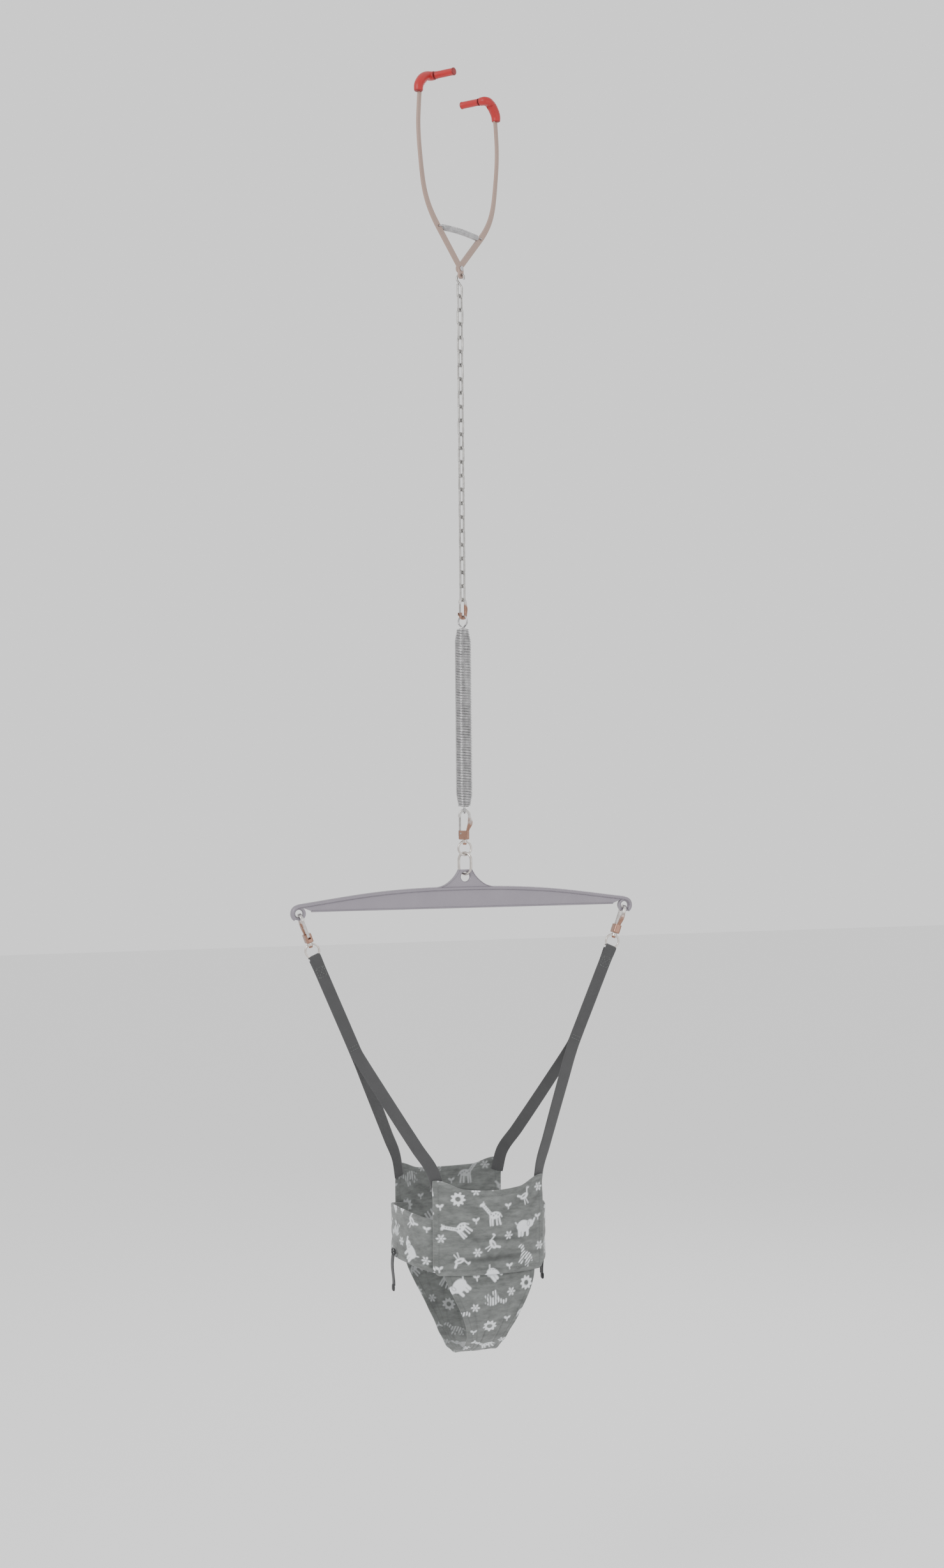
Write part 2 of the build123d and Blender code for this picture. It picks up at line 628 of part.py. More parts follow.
with BuildPart() as spreader_bar:
    with BuildSketch(Plane.XZ.offset(-WEB_THICKNESS / 2)):
        with BuildLine():
            edge = Polyline((-SHOULDER_X, SHOULDER_Z), (-BAR_FOOT_X, BAR_BOTTOM_Z))
            Line(edge @ 1, (BAR_FOOT_X, BAR_BOTTOM_Z))
            Line((BAR_FOOT_X, BAR_BOTTOM_Z), (SHOULDER_X, SHOULDER_Z))
            Spline(
                (SHOULDER_X, SHOULDER_Z), ARCH, (0, BAR_TOP_Z), (-ARCH[0], ARCH[1]),
                (-SHOULDER_X, SHOULDER_Z),
            )
        make_face()
        with Locations((-END_HOLE_X, END_HOLE_Z), (END_HOLE_X, END_HOLE_Z)):
            Circle(LOBE_RADIUS)
        with BuildLine():
            ear_flank(-1)
            ear_flank(1)
            Line((-EAR_TOP_HALF, EAR_TOP_Z), (EAR_TOP_HALF, EAR_TOP_Z))
            Line((EAR_FOOT_HALF, BAR_TOP_Z + 1.0), (-EAR_FOOT_HALF, BAR_TOP_Z + 1.0))
        make_face()
        with Locations((-END_HOLE_X, END_HOLE_Z), (END_HOLE_X, END_HOLE_Z)):
            Circle(END_HOLE_RADIUS, mode=Mode.SUBTRACT)
        with Locations((0, EAR_HOLE_Z)):
            Circle(EAR_HOLE_RADIUS, mode=Mode.SUBTRACT)
    extrude(amount=WEB_THICKNESS)
    hole_edges = spreader_bar.edges().filter_by(GeomType.CIRCLE)
    fillet(hole_edges.filter_by(lambda edge: edge.radius < EAR_HOLE_RADIUS + 0.1), HOLE_ROUNDING)
    for side in (-1, 1):
        with BuildLine(Plane.XZ) as rim_path:
            top_rim_half(side)
        rim(rim_path.line, RIM_HALF_WIDTH, RIM_HALF_HEIGHT)
        with BuildLine(Plane.XZ) as foot_rim_path:
            Line((0, BAR_BOTTOM_Z), (side * (BAR_FOOT_X), BAR_BOTTOM_Z))
        rim(foot_rim_path.line, 3.4, 1.3)
        with BuildLine(Plane.XZ) as ear_rim_path:
            ear_flank(side)
        rim(ear_rim_path.line, 3.3, 0.9)
save(spreader_bar, "spreader_bar")

# ============================================================ end snaps and rings


def lean_up(side):
    """The unit vector up along an end snap, which leans outwards towards its hole."""
    return Vector(side * sin(radians(SNAP_LEAN)), 0, cos(radians(SNAP_LEAN)))


def end_snap_plane(side):
    """The plane of an end snap: the origin is the centre of its bow, x points to its spine."""
    up = lean_up(side)
    origin = Vector(side * END_HOLE_X, 0, END_HOLE_Z) - up * SNAP_DROP
    spine = Vector(0, -side, 0)
    return Plane(origin=origin, x_dir=spine, z_dir=spine.cross(up))


for side, name in ((-1, "left"), (1, "right")):
    snap_plane = end_snap_plane(side)
    save(snap_body(snap_plane), f"{name}_snap_body")
    save(snap_gate(snap_plane), f"{name}_snap_gate")
    save(swivel_eye(snap_plane, snap_plane.z_dir), f"{name}_strap_ring")

# ====================================================================== webbing
# One webbing strap a side goes up from the front panel, through the ring and down to the back
# panel. Its two layers lie together down to the split and then part.


def fat_ring(side):
    """The space that a ring needs inside the strap's loop."""
    plane = end_snap_plane(side)
    centre = plane.origin + plane.y_dir * EYE_DROP
    with BuildPart() as ring:
        with BuildSketch(Plane(origin=centre + plane.z_dir * EYE_RADIUS, z_dir=plane.y_dir)):
            Circle(EYE_WIRE + GAP)
        revolve(axis=Axis(centre, plane.x_dir))
    return ring


def strap(side, face, end):
    """One layer of a strap, front (face -1) or back (face 1), from the ring to a panel's corner."""
    ring_foot = end_snap_plane(side).origin + lean_up(side) * (EYE_DROP - EYE_RADIUS)
    split = Vector(side * SPLIT[0], 0, SPLIT[1])
    down = (split - ring_foot).normalized()
    length = (split - ring_foot).length
    across = Vector(0, 1, 0).cross(down)
    layer_plane = Plane(origin=ring_foot - across * (STRAP_WIDTH / 2), x_dir=down, z_dir=across)
    turn = -face if layer_plane.y_dir.Y < 0 else face
    inner_face = turn * LAYER_GAP
    outer_face = turn * (STRAP_THICKNESS + LAYER_GAP)
    corner = Vector(side * end[0], end[1], end[2])
    lower = (corner - split).normalized()
    start = split + lower * 3.5
    with BuildPart() as layer:
        with BuildSketch(layer_plane):
            with BuildLine():
                Polyline(
                    (2.0, turn * (STRAP_TURN - STRAP_THICKNESS)),
                    (2.0, turn * STRAP_TURN),
                    (length, outer_face),
                    (length + STRAP_OVERLAP, outer_face),
                    (length + STRAP_OVERLAP, inner_face),
                    (length, inner_face),
                    close=True,
                )
            make_face()
        extrude(amount=STRAP_WIDTH)
        if face < 0:
            with BuildSketch(layer_plane):
                Circle(STRAP_TURN)
                Circle(STRAP_TURN - STRAP_THICKNESS, mode=Mode.SUBTRACT)
                with Locations((6.0, 0)):
                    Rectangle(8.0, 8.0, mode=Mode.SUBTRACT)
            extrude(amount=STRAP_WIDTH)
        with BuildSketch(Plane(origin=start, x_dir=across, z_dir=lower)):
            Rectangle(STRAP_WIDTH, STRAP_THICKNESS)
        extrude(amount=(corner - start).length)
        add(fat_ring(side).part, mode=Mode.SUBTRACT)
    return layer


for side, name in ((-1, "left"), (1, "right")):
    save(strap(side, -1, FRONT_STRAP_END), f"{name}_front_strap")
    save(strap(side, 1, BACK_STRAP_END), f"{name}_back_strap")

# ======================================================================= saddle
# In plan the saddle is a shallow arc in front, the same behind, and a rounder arc on each side.


def panel_arc(face, inset):
    """The plan of the front (face -1) or back (face 1) panel, a distance inside its outer face."""
    edge = Vector(PANEL_HALF_WIDTH, face * (PANEL_EDGE_Y - inset))
    ThreePointArc((-edge.X, edge.Y), (0, face * (PANEL_EDGE_Y + PANEL_BULGE - inset)), (edge.X, edge.Y))


def panel_band(face):
    """The closed plan of the front or back panel, as thick as the cloth."""
    panel_arc(face, 0.0)
    panel_arc(face, PANEL_THICKNESS)
    for side in (-1, 1):
        x = side * PANEL_HALF_WIDTH
        Line((x, face * PANEL_EDGE_Y), (x, face * (PANEL_EDGE_Y - PANEL_THICKNESS)))


def body_panel(face, sag):
    """The bib or the back panel: a curved plate with a sagging top edge and rounded lower corners."""
    with BuildPart() as panel:
        with BuildSketch(Plane.XY.offset(SEAM_Z)):
            with BuildLine():
                panel_band(face)
            make_face()
        extrude(amount=PANEL_TOP_Z - SEAM_Z)
        with BuildSketch(Plane.XZ):
            with Locations((0, (PANEL_TOP_Z + SEAM_Z) / 2)):
                outline = Rectangle(2 * PANEL_HALF_WIDTH + 2.0, PANEL_TOP_Z - SEAM_Z)
            fillet(outline.vertices().group_by(Axis.Y)[0], CORNER_ROUNDING)
            with BuildLine():
                sag_line = ThreePointArc(
                    (-SAG_HALF_WIDTH, PANEL_TOP_Z), (0, PANEL_TOP_Z - sag), (SAG_HALF_WIDTH, PANEL_TOP_Z)
                )
                Line(sag_line @ 1, sag_line @ 0)
            make_face(mode=Mode.SUBTRACT)
        extrude(amount=200.0, both=True, mode=Mode.INTERSECT)
    return panel


def wing(side):
    """A side band, whose ends stop short of the front and back panels."""
    reach = PANEL_EDGE_Y - PANEL_THICKNESS - 1.0
    with BuildPart() as band:
        with BuildSketch(Plane.XY.offset(SEAM_Z + WING_RISE)):
            with BuildLine():
                ThreePointArc(
                    (side * WING_HALF_WIDTH, -reach),
                    (side * SADDLE_HALF_WIDTH, 0),
                    (side * WING_HALF_WIDTH, reach),
                )
                inner_x = WING_HALF_WIDTH - PANEL_THICKNESS
                ThreePointArc(
                    (side * inner_x, -reach),
                    (side * (SADDLE_HALF_WIDTH - PANEL_THICKNESS), 0),
                    (side * inner_x, reach),
                )
                Line((side * WING_HALF_WIDTH, -reach), (side * inner_x, -reach))
                Line((side * WING_HALF_WIDTH, reach), (side * inner_x, reach))
            make_face()
        extrude(amount=WING_TOP_Z - SEAM_Z - WING_RISE)
    return band


save(body_panel(-1, BIB_SAG), "front_panel")
save(body_panel(1, BACK_SAG), "back_panel")
save(wing(-1), "left_wing")
save(wing(1), "right_wing")

# The crotch is a sling from seam to seam: it hangs straight from both panels, then turns under in a
# half circle, and is hollowed on both sides for the legs.
crotch_top = SEAM_Z - GAP
crotch_turn = SADDLE_BOTTOM_Z + PANEL_EDGE_Y + PANEL_BULGE
with BuildPart() as crotch_panel:
    with BuildSketch(Plane.XY.offset(crotch_turn)):
        for face in (-1, 1):
            with BuildLine():
                panel_band(face)
            make_face()
    extrude(amount=crotch_top - crotch_turn)
    with BuildSketch(Plane.XY.offset(crotch_turn)):
        with BuildLine():
            panel_band(-1)
        make_face()
    revolve(axis=Axis((0, 0, crotch_turn), (1, 0, 0)), revolution_arc=180)
    with BuildSketch(Plane.XZ):
        with BuildLine():
            for side in (-1, 1):
                Spline(
                    (side * CROTCH_TOP_HALF_WIDTH, crotch_top + 1.0),
                    (side * 47.0, SEAM_Z - 28.0),
                    (side * 27.0, SEAM_Z - 68.0),
                    (side * CROTCH_HALF_WIDTH, SADDLE_BOTTOM_Z - 1.0),
                )
            Line(
                (-CROTCH_TOP_HALF_WIDTH, crotch_top + 1.0), (CROTCH_TOP_HALF_WIDTH, crotch_top + 1.0)
            )
            Line(
                (-CROTCH_HALF_WIDTH, SADDLE_BOTTOM_Z - 1.0), (CROTCH_HALF_WIDTH, SADDLE_BOTTOM_Z - 1.0)
            )
        make_face()
    extrude(amount=200.0, both=True, mode=Mode.INTERSECT)
save(crotch_panel, "crotch_panel")

# ============================================================ side fastening tails
# A narrow strap hangs down each side from a small slide on the wing, and ends in a moulded tip.
for side, name in ((-1, "left"), (1, "right")):
    face_x = side * (SADDLE_HALF_WIDTH + TAIL_STAND_OFF)
    with BuildPart() as side_strap:
        with BuildSketch(Plane.XY.offset(TAIL_TOP_Z)):
            with Locations((face_x, 0)):
                Rectangle(TAIL_THICKNESS, TAIL_WIDTH)
        extrude(amount=TAIL_BOTTOM_Z - TAIL_TOP_Z)
    save(side_strap, f"{name}_side_strap")
    with BuildPart() as side_buckle:
        with BuildSketch(Plane.XY.offset(TAIL_TOP_Z + 0.1)):
            with Locations((face_x - side * 0.6, 0)):
                RectangleRounded(3.4, TAIL_WIDTH + 4.0, 1.2)
        extrude(amount=BUCKLE_HEIGHT)
        with BuildSketch(Plane.XY.offset(TAIL_BOTTOM_Z - 0.1)):
            with Locations((face_x, 0)):
                RectangleRounded(2.8, TAIL_WIDTH + 1.0, 1.0)
        extrude(amount=-BUCKLE_HEIGHT)
    save(side_buckle, f"{name}_side_buckle")
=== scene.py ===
"""Looks of the activity jumper: a door-frame clamp, a chain, a long spring, a bar and a printed saddle.

Metres, in the row frame: +Z up, the plumb line at X = Y = 0, -Y the front of the saddle.
"""

import math

import bpy
import numpy as np
from mathutils import Matrix, Vector

import json


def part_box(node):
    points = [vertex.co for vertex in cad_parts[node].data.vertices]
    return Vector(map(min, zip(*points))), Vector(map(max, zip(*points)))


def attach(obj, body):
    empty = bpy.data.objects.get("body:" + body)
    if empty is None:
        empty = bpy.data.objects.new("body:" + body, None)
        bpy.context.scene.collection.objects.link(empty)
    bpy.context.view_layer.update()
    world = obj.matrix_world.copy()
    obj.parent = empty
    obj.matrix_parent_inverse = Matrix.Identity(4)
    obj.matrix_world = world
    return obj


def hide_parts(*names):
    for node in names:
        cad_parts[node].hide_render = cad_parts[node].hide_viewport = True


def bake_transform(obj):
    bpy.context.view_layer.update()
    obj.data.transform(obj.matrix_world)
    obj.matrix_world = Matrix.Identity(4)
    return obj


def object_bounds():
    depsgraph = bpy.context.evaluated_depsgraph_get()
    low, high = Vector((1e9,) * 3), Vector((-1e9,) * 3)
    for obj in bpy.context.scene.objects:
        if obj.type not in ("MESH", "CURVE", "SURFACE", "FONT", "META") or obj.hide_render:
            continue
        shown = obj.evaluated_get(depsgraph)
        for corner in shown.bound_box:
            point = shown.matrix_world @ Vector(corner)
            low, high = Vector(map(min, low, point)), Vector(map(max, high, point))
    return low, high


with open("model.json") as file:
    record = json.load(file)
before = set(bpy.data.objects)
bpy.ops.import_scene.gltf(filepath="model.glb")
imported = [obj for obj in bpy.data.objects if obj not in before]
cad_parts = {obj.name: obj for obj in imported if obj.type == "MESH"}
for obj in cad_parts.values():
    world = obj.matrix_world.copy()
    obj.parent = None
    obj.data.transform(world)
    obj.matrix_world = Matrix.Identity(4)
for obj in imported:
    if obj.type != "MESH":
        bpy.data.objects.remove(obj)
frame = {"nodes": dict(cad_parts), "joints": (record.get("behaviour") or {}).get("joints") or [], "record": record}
cad_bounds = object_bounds()
joints = {joint["name"]: joint for joint in frame["joints"]}
MM = 0.001


# ------------------------------------------------------------------ small helpers
def joint_point(name):
    """Where a joint is, in the row frame."""
    return np.array(joints[name]["pos_m"], float)


def joint_axis(name):
    """The direction of a joint's axis."""
    axis = np.array(joints[name]["axis"], float)
    return axis / np.linalg.norm(axis)


def unit(v):
    """Vectors along the last axis, scaled to length one."""
    v = np.asarray(v, float)
    return v / np.maximum(np.linalg.norm(v, axis=-1, keepdims=True), 1e-12)


def make_object(name, points, faces, material, smooth=True):
    """A mesh object from points in metres and faces."""
    mesh = bpy.data.meshes.new(name)
    mesh.from_pydata([tuple(p) for p in points], [], faces)
    mesh.validate()
    mesh.polygons.foreach_set("use_smooth", [smooth] * len(mesh.polygons))
    mesh.materials.append(material)
    mesh.update()
    made = bpy.data.objects.new(name, mesh)
    bpy.context.scene.collection.objects.link(made)
    return made


def grid_faces(rows, columns, wrap_rows=False, wrap_columns=False, start=0):
    """The quads of a grid of points stored row by row."""
    faces = []
    for i in range(rows if wrap_rows else rows - 1):
        for j in range(columns if wrap_columns else columns - 1):
            a = start + i * columns + j
            b = start + i * columns + (j + 1) % columns
            c = start + ((i + 1) % rows) * columns + (j + 1) % columns
            d = start + ((i + 1) % rows) * columns + j
            faces.append((a, b, c, d))
    return faces


def frames_along(path, normal=None):
    """Tangents, normals and binormals along a path, turned as little as they can be."""
    path = np.asarray(path, float)
    tangents = unit(np.gradient(path, axis=0))
    first = np.array(normal if normal is not None else (0.0, 0.0, 1.0), float)
    if abs(np.dot(unit(first), tangents[0])) > 0.95:
        first = np.array((0.0, 1.0, 0.0))
    normals = np.zeros_like(path)
    current = first
    for i, tangent in enumerate(tangents):
        current = current - tangent * np.dot(current, tangent)
        current = current / max(np.linalg.norm(current), 1e-12)
        normals[i] = current
    return tangents, normals, np.cross(tangents, normals)


def tube(path, radius, sides=8, closed=False, normal=None):
    """Points and faces of a round tube along a path, capped unless it is closed on itself."""
    path = np.asarray(path, float)
    _, normals, binormals = frames_along(path, normal)
    angles = np.linspace(0, 2 * np.pi, sides, endpoint=False)
    radii = np.broadcast_to(np.asarray(radius, float), (len(path),))
    ring = (
        normals[:, None, :] * np.cos(angles)[None, :, None]
        + binormals[:, None, :] * np.sin(angles)[None, :, None]
    )
    points = (path[:, None, :] + ring * radii[:, None, None]).reshape(-1, 3)
    faces = grid_faces(len(path), sides, wrap_rows=closed, wrap_columns=True)
    if not closed:
        faces.append(tuple(range(sides - 1, -1, -1)))
        last = (len(path) - 1) * sides
        faces.append(tuple(range(last, last + sides)))
    return points, faces


def join_meshes(parts):
    """Several (points, faces) as one."""
    points, faces, offset = [], [], 0
    for part_points, part_faces in parts:
        points.append(np.asarray(part_points, float))
        faces.extend(tuple(i + offset for i in face) for face in part_faces)
        offset += len(part_points)
    return np.vstack(points), faces


def smooth_path(points, count):
    """A smooth curve through points, evenly spaced."""
    points = np.asarray(points, float)
    step = np.linalg.norm(np.diff(points, axis=0), axis=1)
    at = np.concatenate([[0], np.cumsum(step)])
    tangents = np.gradient(points, at, axis=0)
    even = np.linspace(0, at[-1], count)
    index = np.clip(np.searchsorted(at, even, side="right") - 1, 0, len(points) - 2)
    h = (at[index + 1] - at[index])[:, None]
    t = ((even - at[index]) / h[:, 0])[:, None]
    return (
        (2 * t**3 - 3 * t**2 + 1) * points[index]
        + (t**3 - 2 * t**2 + t) * h * tangents[index]
        + (-2 * t**3 + 3 * t**2) * points[index + 1]
        + (t**3 - t**2) * h * tangents[index + 1]
    )


# ---------------------------------------------------------------------- materials
class Shader:
    """A small builder of node materials around one Principled shader."""

    def __init__(self, name):
        self.material = bpy.data.materials.new(name)
        self.material.use_nodes = True
        self.nodes = self.material.node_tree.nodes
        self.links = self.material.node_tree.links
        self.shader = self.nodes["Principled BSDF"]
        self.position = self.nodes.new("ShaderNodeTexCoord").outputs["Object"]

    def set(self, **values):
        for key, value in values.items():
            self.shader.inputs[key.replace("_", " ")].default_value = value
        return self

    def noise(self, scale, detail=3.0, stretch=(1, 1, 1), roughness=0.55):
        mapping = self.nodes.new("ShaderNodeMapping")
        mapping.inputs["Scale"].default_value = stretch
        self.links.new(self.position, mapping.inputs["Vector"])
        texture = self.nodes.new("ShaderNodeTexNoise")
        texture.inputs["Scale"].default_value = scale
        texture.inputs["Detail"].default_value = detail
        texture.inputs["Roughness"].default_value = roughness
        self.links.new(mapping.outputs["Vector"], texture.inputs["Vector"])
        return texture.outputs["Fac"]

    def wave(self, scale, direction, vector=None, distortion=0.0, detail_scale=1.0):
        texture = self.nodes.new("ShaderNodeTexWave")
        texture.bands_direction = direction
        texture.inputs["Scale"].default_value = scale
        texture.inputs["Distortion"].default_value = distortion
        texture.inputs["Detail Scale"].default_value = detail_scale
        self.links.new(vector or self.position, texture.inputs["Vector"])
        return texture.outputs["Fac"]

    def height(self):
        """Height within the piece's own box, 0 at its foot and 1 at its top."""
        coordinates = self.nodes.new("ShaderNodeTexCoord").outputs["Generated"]
        split = self.nodes.new("ShaderNodeSeparateXYZ")
        self.links.new(coordinates, split.inputs["Vector"])
        return split.outputs["Z"]

    def attribute(self, name, output="Fac"):
        node = self.nodes.new("ShaderNodeAttribute")
        node.attribute_name = name
        return node.outputs[output]

    def math(self, operation, a, b=None, clamp=False):
        node = self.nodes.new("ShaderNodeMath")
        node.operation = operation
        node.use_clamp = clamp
        for socket, value in zip(node.inputs, (a, b)):
            if value is None:
                continue
            if isinstance(value, (int, float)):
                socket.default_value = value
            else:
                self.links.new(value, socket)
        return node.outputs[0]

    def ramp(self, value, stops):
        node = self.nodes.new("ShaderNodeValToRGB")
        elements = node.color_ramp.elements
        for index, (at, colour) in enumerate(stops):
            element = elements[index] if index < 2 else elements.new(at)
            element.position = at
            element.color = (*colour, 1)
        self.links.new(value, node.inputs["Fac"])
        return node.outputs["Color"]

    def mix(self, factor, a, b, blend="MIX"):
        node = self.nodes.new("ShaderNodeMix")
        node.data_type = "RGBA"
        node.blend_type = blend
        for socket, value in ((node.inputs[0], factor), (node.inputs[6], a), (node.inputs[7], b)):
            if isinstance(value, (int, float)):
                socket.default_value = value
            elif isinstance(value, tuple):
                socket.default_value = (*value, 1)
            else:
                self.links.new(value, socket)
        return node.outputs[2]

    def span(self, value, low, high):
        node = self.nodes.new("ShaderNodeMapRange")
        node.inputs["To Min"].default_value = low
        node.inputs["To Max"].default_value = high
        self.links.new(value, node.inputs["Value"])
        return node.outputs["Result"]

    def colour(self, socket):
        self.links.new(socket, self.shader.inputs["Base Color"])
        return self

    def rough(self, socket):
        self.links.new(socket, self.shader.inputs["Roughness"])
        return self

    def bump(self, height, distance, strength=1.0):
        node = self.nodes.new("ShaderNodeBump")
        node.inputs["Distance"].default_value = distance
        node.inputs["Strength"].default_value = strength
        self.links.new(height, node.inputs["Height"])
        self.links.new(node.outputs["Normal"], self.shader.inputs["Normal"])
        return self


def linear(r, g, b):
    """A screen colour of 0 to 255 as linear light."""
    def one(v):
        v = v / 255
        return v / 12.92 if v <= 0.04045 else ((v + 0.055) / 1.055) ** 2.4

    return (one(r), one(g), one(b))


def metal(name, dark, light, roughness=(0.2, 0.4), metallic=1.0, grain=900, bump=0.02):
    """Plated wire or cast metal: cloudy colour, uneven gloss and a fine grain."""
    s = Shader(name)
    cloud = s.noise(180, 4)
    fine = s.noise(grain, 5)
    s.colour(s.mix(cloud, dark, light))
    s.rough(s.span(fine, *roughness))
    s.bump(s.math("ADD", fine, s.math("MULTIPLY", cloud, 0.6)), bump * MM, 0.6)
    s.set(Metallic=metallic)
    return s.material


def snap_copper_and_painted_highlight(name, copper, nickel):
    """A cast snap: copper-toned plating below, and towards the top a painted highlight that turns the bow bright and
    silvery.
    """
    s = Shader(name)
    cloud = s.noise(220, 5)
    fine = s.noise(900, 4)
    spread = s.math("ADD", s.height(), s.math("MULTIPLY", s.math("SUBTRACT", cloud, 0.5), 0.55))
    # painted highlight: towards the top of its box the snap is mixed to a bright silvery colour
    painted_top_highlight = s.ramp(spread, [(0.58, (0, 0, 0)), (0.80, (1, 1, 1))])
    low = s.mix(cloud, tuple(c * 0.72 for c in copper), tuple(min(1, c * 1.25) for c in copper))
    high = s.mix(cloud, tuple(c * 0.78 for c in nickel), nickel)
    s.colour(s.mix(painted_top_highlight, low, high))
    s.rough(s.span(fine, 0.2, 0.38))
    s.bump(s.math("ADD", fine, s.math("MULTIPLY", cloud, 0.6)), 0.04 * MM, 0.6)
    s.set(Metallic=1.0)
    return s.material


def enamel(name, base, chip, roughness=(0.32, 0.5), orange_peel=350):
    """Sprayed enamel: an even colour with faint orange peel, dust and scattered rubbed spots."""
    s = Shader(name)
    peel = s.noise(orange_peel, 2)
    cloud = s.noise(35, 4)
    worn = s.ramp(s.noise(260, 8, roughness=0.7), [(0.66, (0, 0, 0)), (0.74, (1, 1, 1))])
    mottled = s.mix(cloud, tuple(c * 0.9 for c in base), tuple(min(1, c * 1.08) for c in base))
    s.colour(s.mix(s.math("MULTIPLY", worn, 0.35), mottled, chip))
    s.rough(s.span(peel, *roughness))
    s.bump(peel, 0.03 * MM, 0.5)
    s.set(Metallic=0.25, Coat_Weight=0.25, Coat_Roughness=0.25)
    return s.material


def rubber(name, base):
    """Dipped rubber: slightly powdery, with fine pits, and painted shade darkening the ends of the boot and the rims
    of the sleeve.
    """
    s = Shader(name)
    cloud = s.noise(90, 4)
    pits = s.noise(1400, 3)
    red = s.mix(cloud, tuple(c * 0.82 for c in base), tuple(min(1, c * 1.1) for c in base))
    # painted shade: a point attribute darkens the red towards a deep red at the boot's ends and the sleeve's rims
    s.colour(s.mix(s.math("MULTIPLY", s.attribute("painted_shade"), 0.75, clamp=True), red, tuple(c * 0.25 for c in base)))
    s.rough(s.span(pits, 0.34, 0.56))
    s.bump(pits, 0.05 * MM, 0.5)
    s.set(Sheen_Weight=0.1)
    return s.material


def plastic(name, base):
    """Moulded matt plastic with a light spark-eroded grain."""
    s = Shader(name)
    grain = s.noise(1800, 2)
    cloud = s.noise(120, 3)
    s.colour(s.mix(cloud, tuple(c * 0.85 for c in base), tuple(min(1, c * 1.25) for c in base)))
    s.rough(s.span(grain, 0.4, 0.55))
    s.bump(grain, 0.03 * MM, 0.6)
    return s.material


def woven(name, base, pick=0.0011):
    """Webbing: ribs across and along the strap in the strap's own running coordinates."""
    s = Shader(name)
    uv = s.nodes.new("ShaderNodeUVMap")
    uv.uv_map = "along"
    vector = uv.outputs["UV"]
    turns = 1 / (pick * 2 * math.pi) * math.pi
    across = s.wave(turns, "Y", vector, 0.4)
    along = s.wave(turns * 0.8, "X", vector, 0.3)
    weave = s.math("MULTIPLY", across, along)
    cloud = s.noise(60, 4)
    dust = s.noise(900, 5)
    dark, light = tuple(c * 0.62 for c in base), tuple(min(1, c * 1.3) for c in base)
    tinted = s.mix(s.math("ADD", s.math("MULTIPLY", weave, 0.6), s.math("MULTIPLY", cloud, 0.4)), dark, light)
    s.colour(s.mix(s.math("MULTIPLY", dust, 0.15), tinted, light))
    s.rough(s.span(dust, 0.72, 0.9))
    s.bump(s.math("ADD", weave, s.math("MULTIPLY", dust, 0.3)), 0.25 * MM, 0.8)
    s.set(Sheen_Weight=0.2)
    return s.material


def printed_cloth(name, base, ink):
    """Cotton cloth with a faded wash, a fine plain weave, painted shade in its folds and along the hem line, and a
    print in the mesh's own attribute.
    """
    s = Shader(name)
    uv = s.nodes.new("ShaderNodeUVMap")
    uv.uv_map = "along"
    vector = uv.outputs["UV"]
    threads = 1 / 0.00055 * 0.5
    weave = s.math("ADD", s.wave(threads, "X", vector, 0.5), s.wave(threads, "Y", vector, 0.5))
    wash = s.math("ADD", s.math("MULTIPLY", s.noise(34, 6, stretch=(1, 1, 2.6), roughness=0.66), 0.62), s.math("MULTIPLY", s.noise(120, 4, stretch=(1, 1, 3.0)), 0.38))
    fuzz = s.noise(1500, 4)
    faded = s.ramp(
        wash,
        [
            (0.36, tuple(c * 0.58 for c in base)),
            (0.64, tuple(min(1, c * 1.34) for c in base)),
        ],
    )
    threads_colour = s.mix(s.math("MULTIPLY", weave, 0.12), faded, tuple(c * 0.7 for c in base))
    # painted shade: a point attribute, strongest in the folds and along the hem line, darkens the cloth's colour
    # towards a deep grey
    painted_shade = s.attribute("painted_shade")
    shaded = s.mix(s.math("MULTIPLY", painted_shade, 0.72, clamp=True), threads_colour, tuple(c * 0.3 for c in base))
    mask = s.math("MULTIPLY", s.attribute("print"), s.span(fuzz, 0.86, 1.0), clamp=True)
    s.colour(s.mix(mask, shaded, ink))
    s.rough(s.span(fuzz, 0.78, 0.95))
    s.bump(s.math("ADD", s.math("MULTIPLY", weave, 0.5), fuzz), 0.12 * MM, 0.7)
    s.set(Sheen_Weight=0.25, Sheen_Roughness=0.5)
    return s.material


ARM = enamel("arm_enamel", linear(164, 138, 126), linear(104, 88, 80))
BAR = enamel("bar_enamel", linear(134, 128, 137), linear(96, 91, 99), roughness=(0.36, 0.55))
RED = rubber("grip_rubber", linear(172, 20, 22))
STEEL = metal("plain_steel", linear(150, 150, 152), linear(215, 215, 218))
CHAIN = metal("zinc_wire", linear(120, 118, 116), linear(205, 203, 200), roughness=(0.25, 0.45))
SPRING = metal("bright_spring", linear(118, 117, 118), linear(214, 213, 214), roughness=(0.16, 0.32))
SNAP = snap_copper_and_painted_highlight("snap_metal", linear(156, 120, 104), linear(214, 211, 208))
NICKEL = metal("bright_nickel", linear(160, 152, 146), linear(228, 222, 216), roughness=(0.16, 0.32), bump=0.03)
GATE = metal("gate_metal", linear(132, 128, 126), linear(206, 202, 200), roughness=(0.22, 0.4))
WEBBING = woven("webbing", linear(70, 70, 71))
CLOTH = printed_cloth("print_cloth", linear(108, 111, 109), linear(232, 235, 238))
TAIL_WEBBING = woven("tail_webbing", linear(46, 46, 48))
THREAD = plastic("thread", linear(110, 113, 111))
BUCKLE = plastic("buckle_plastic", linear(30, 30, 32))

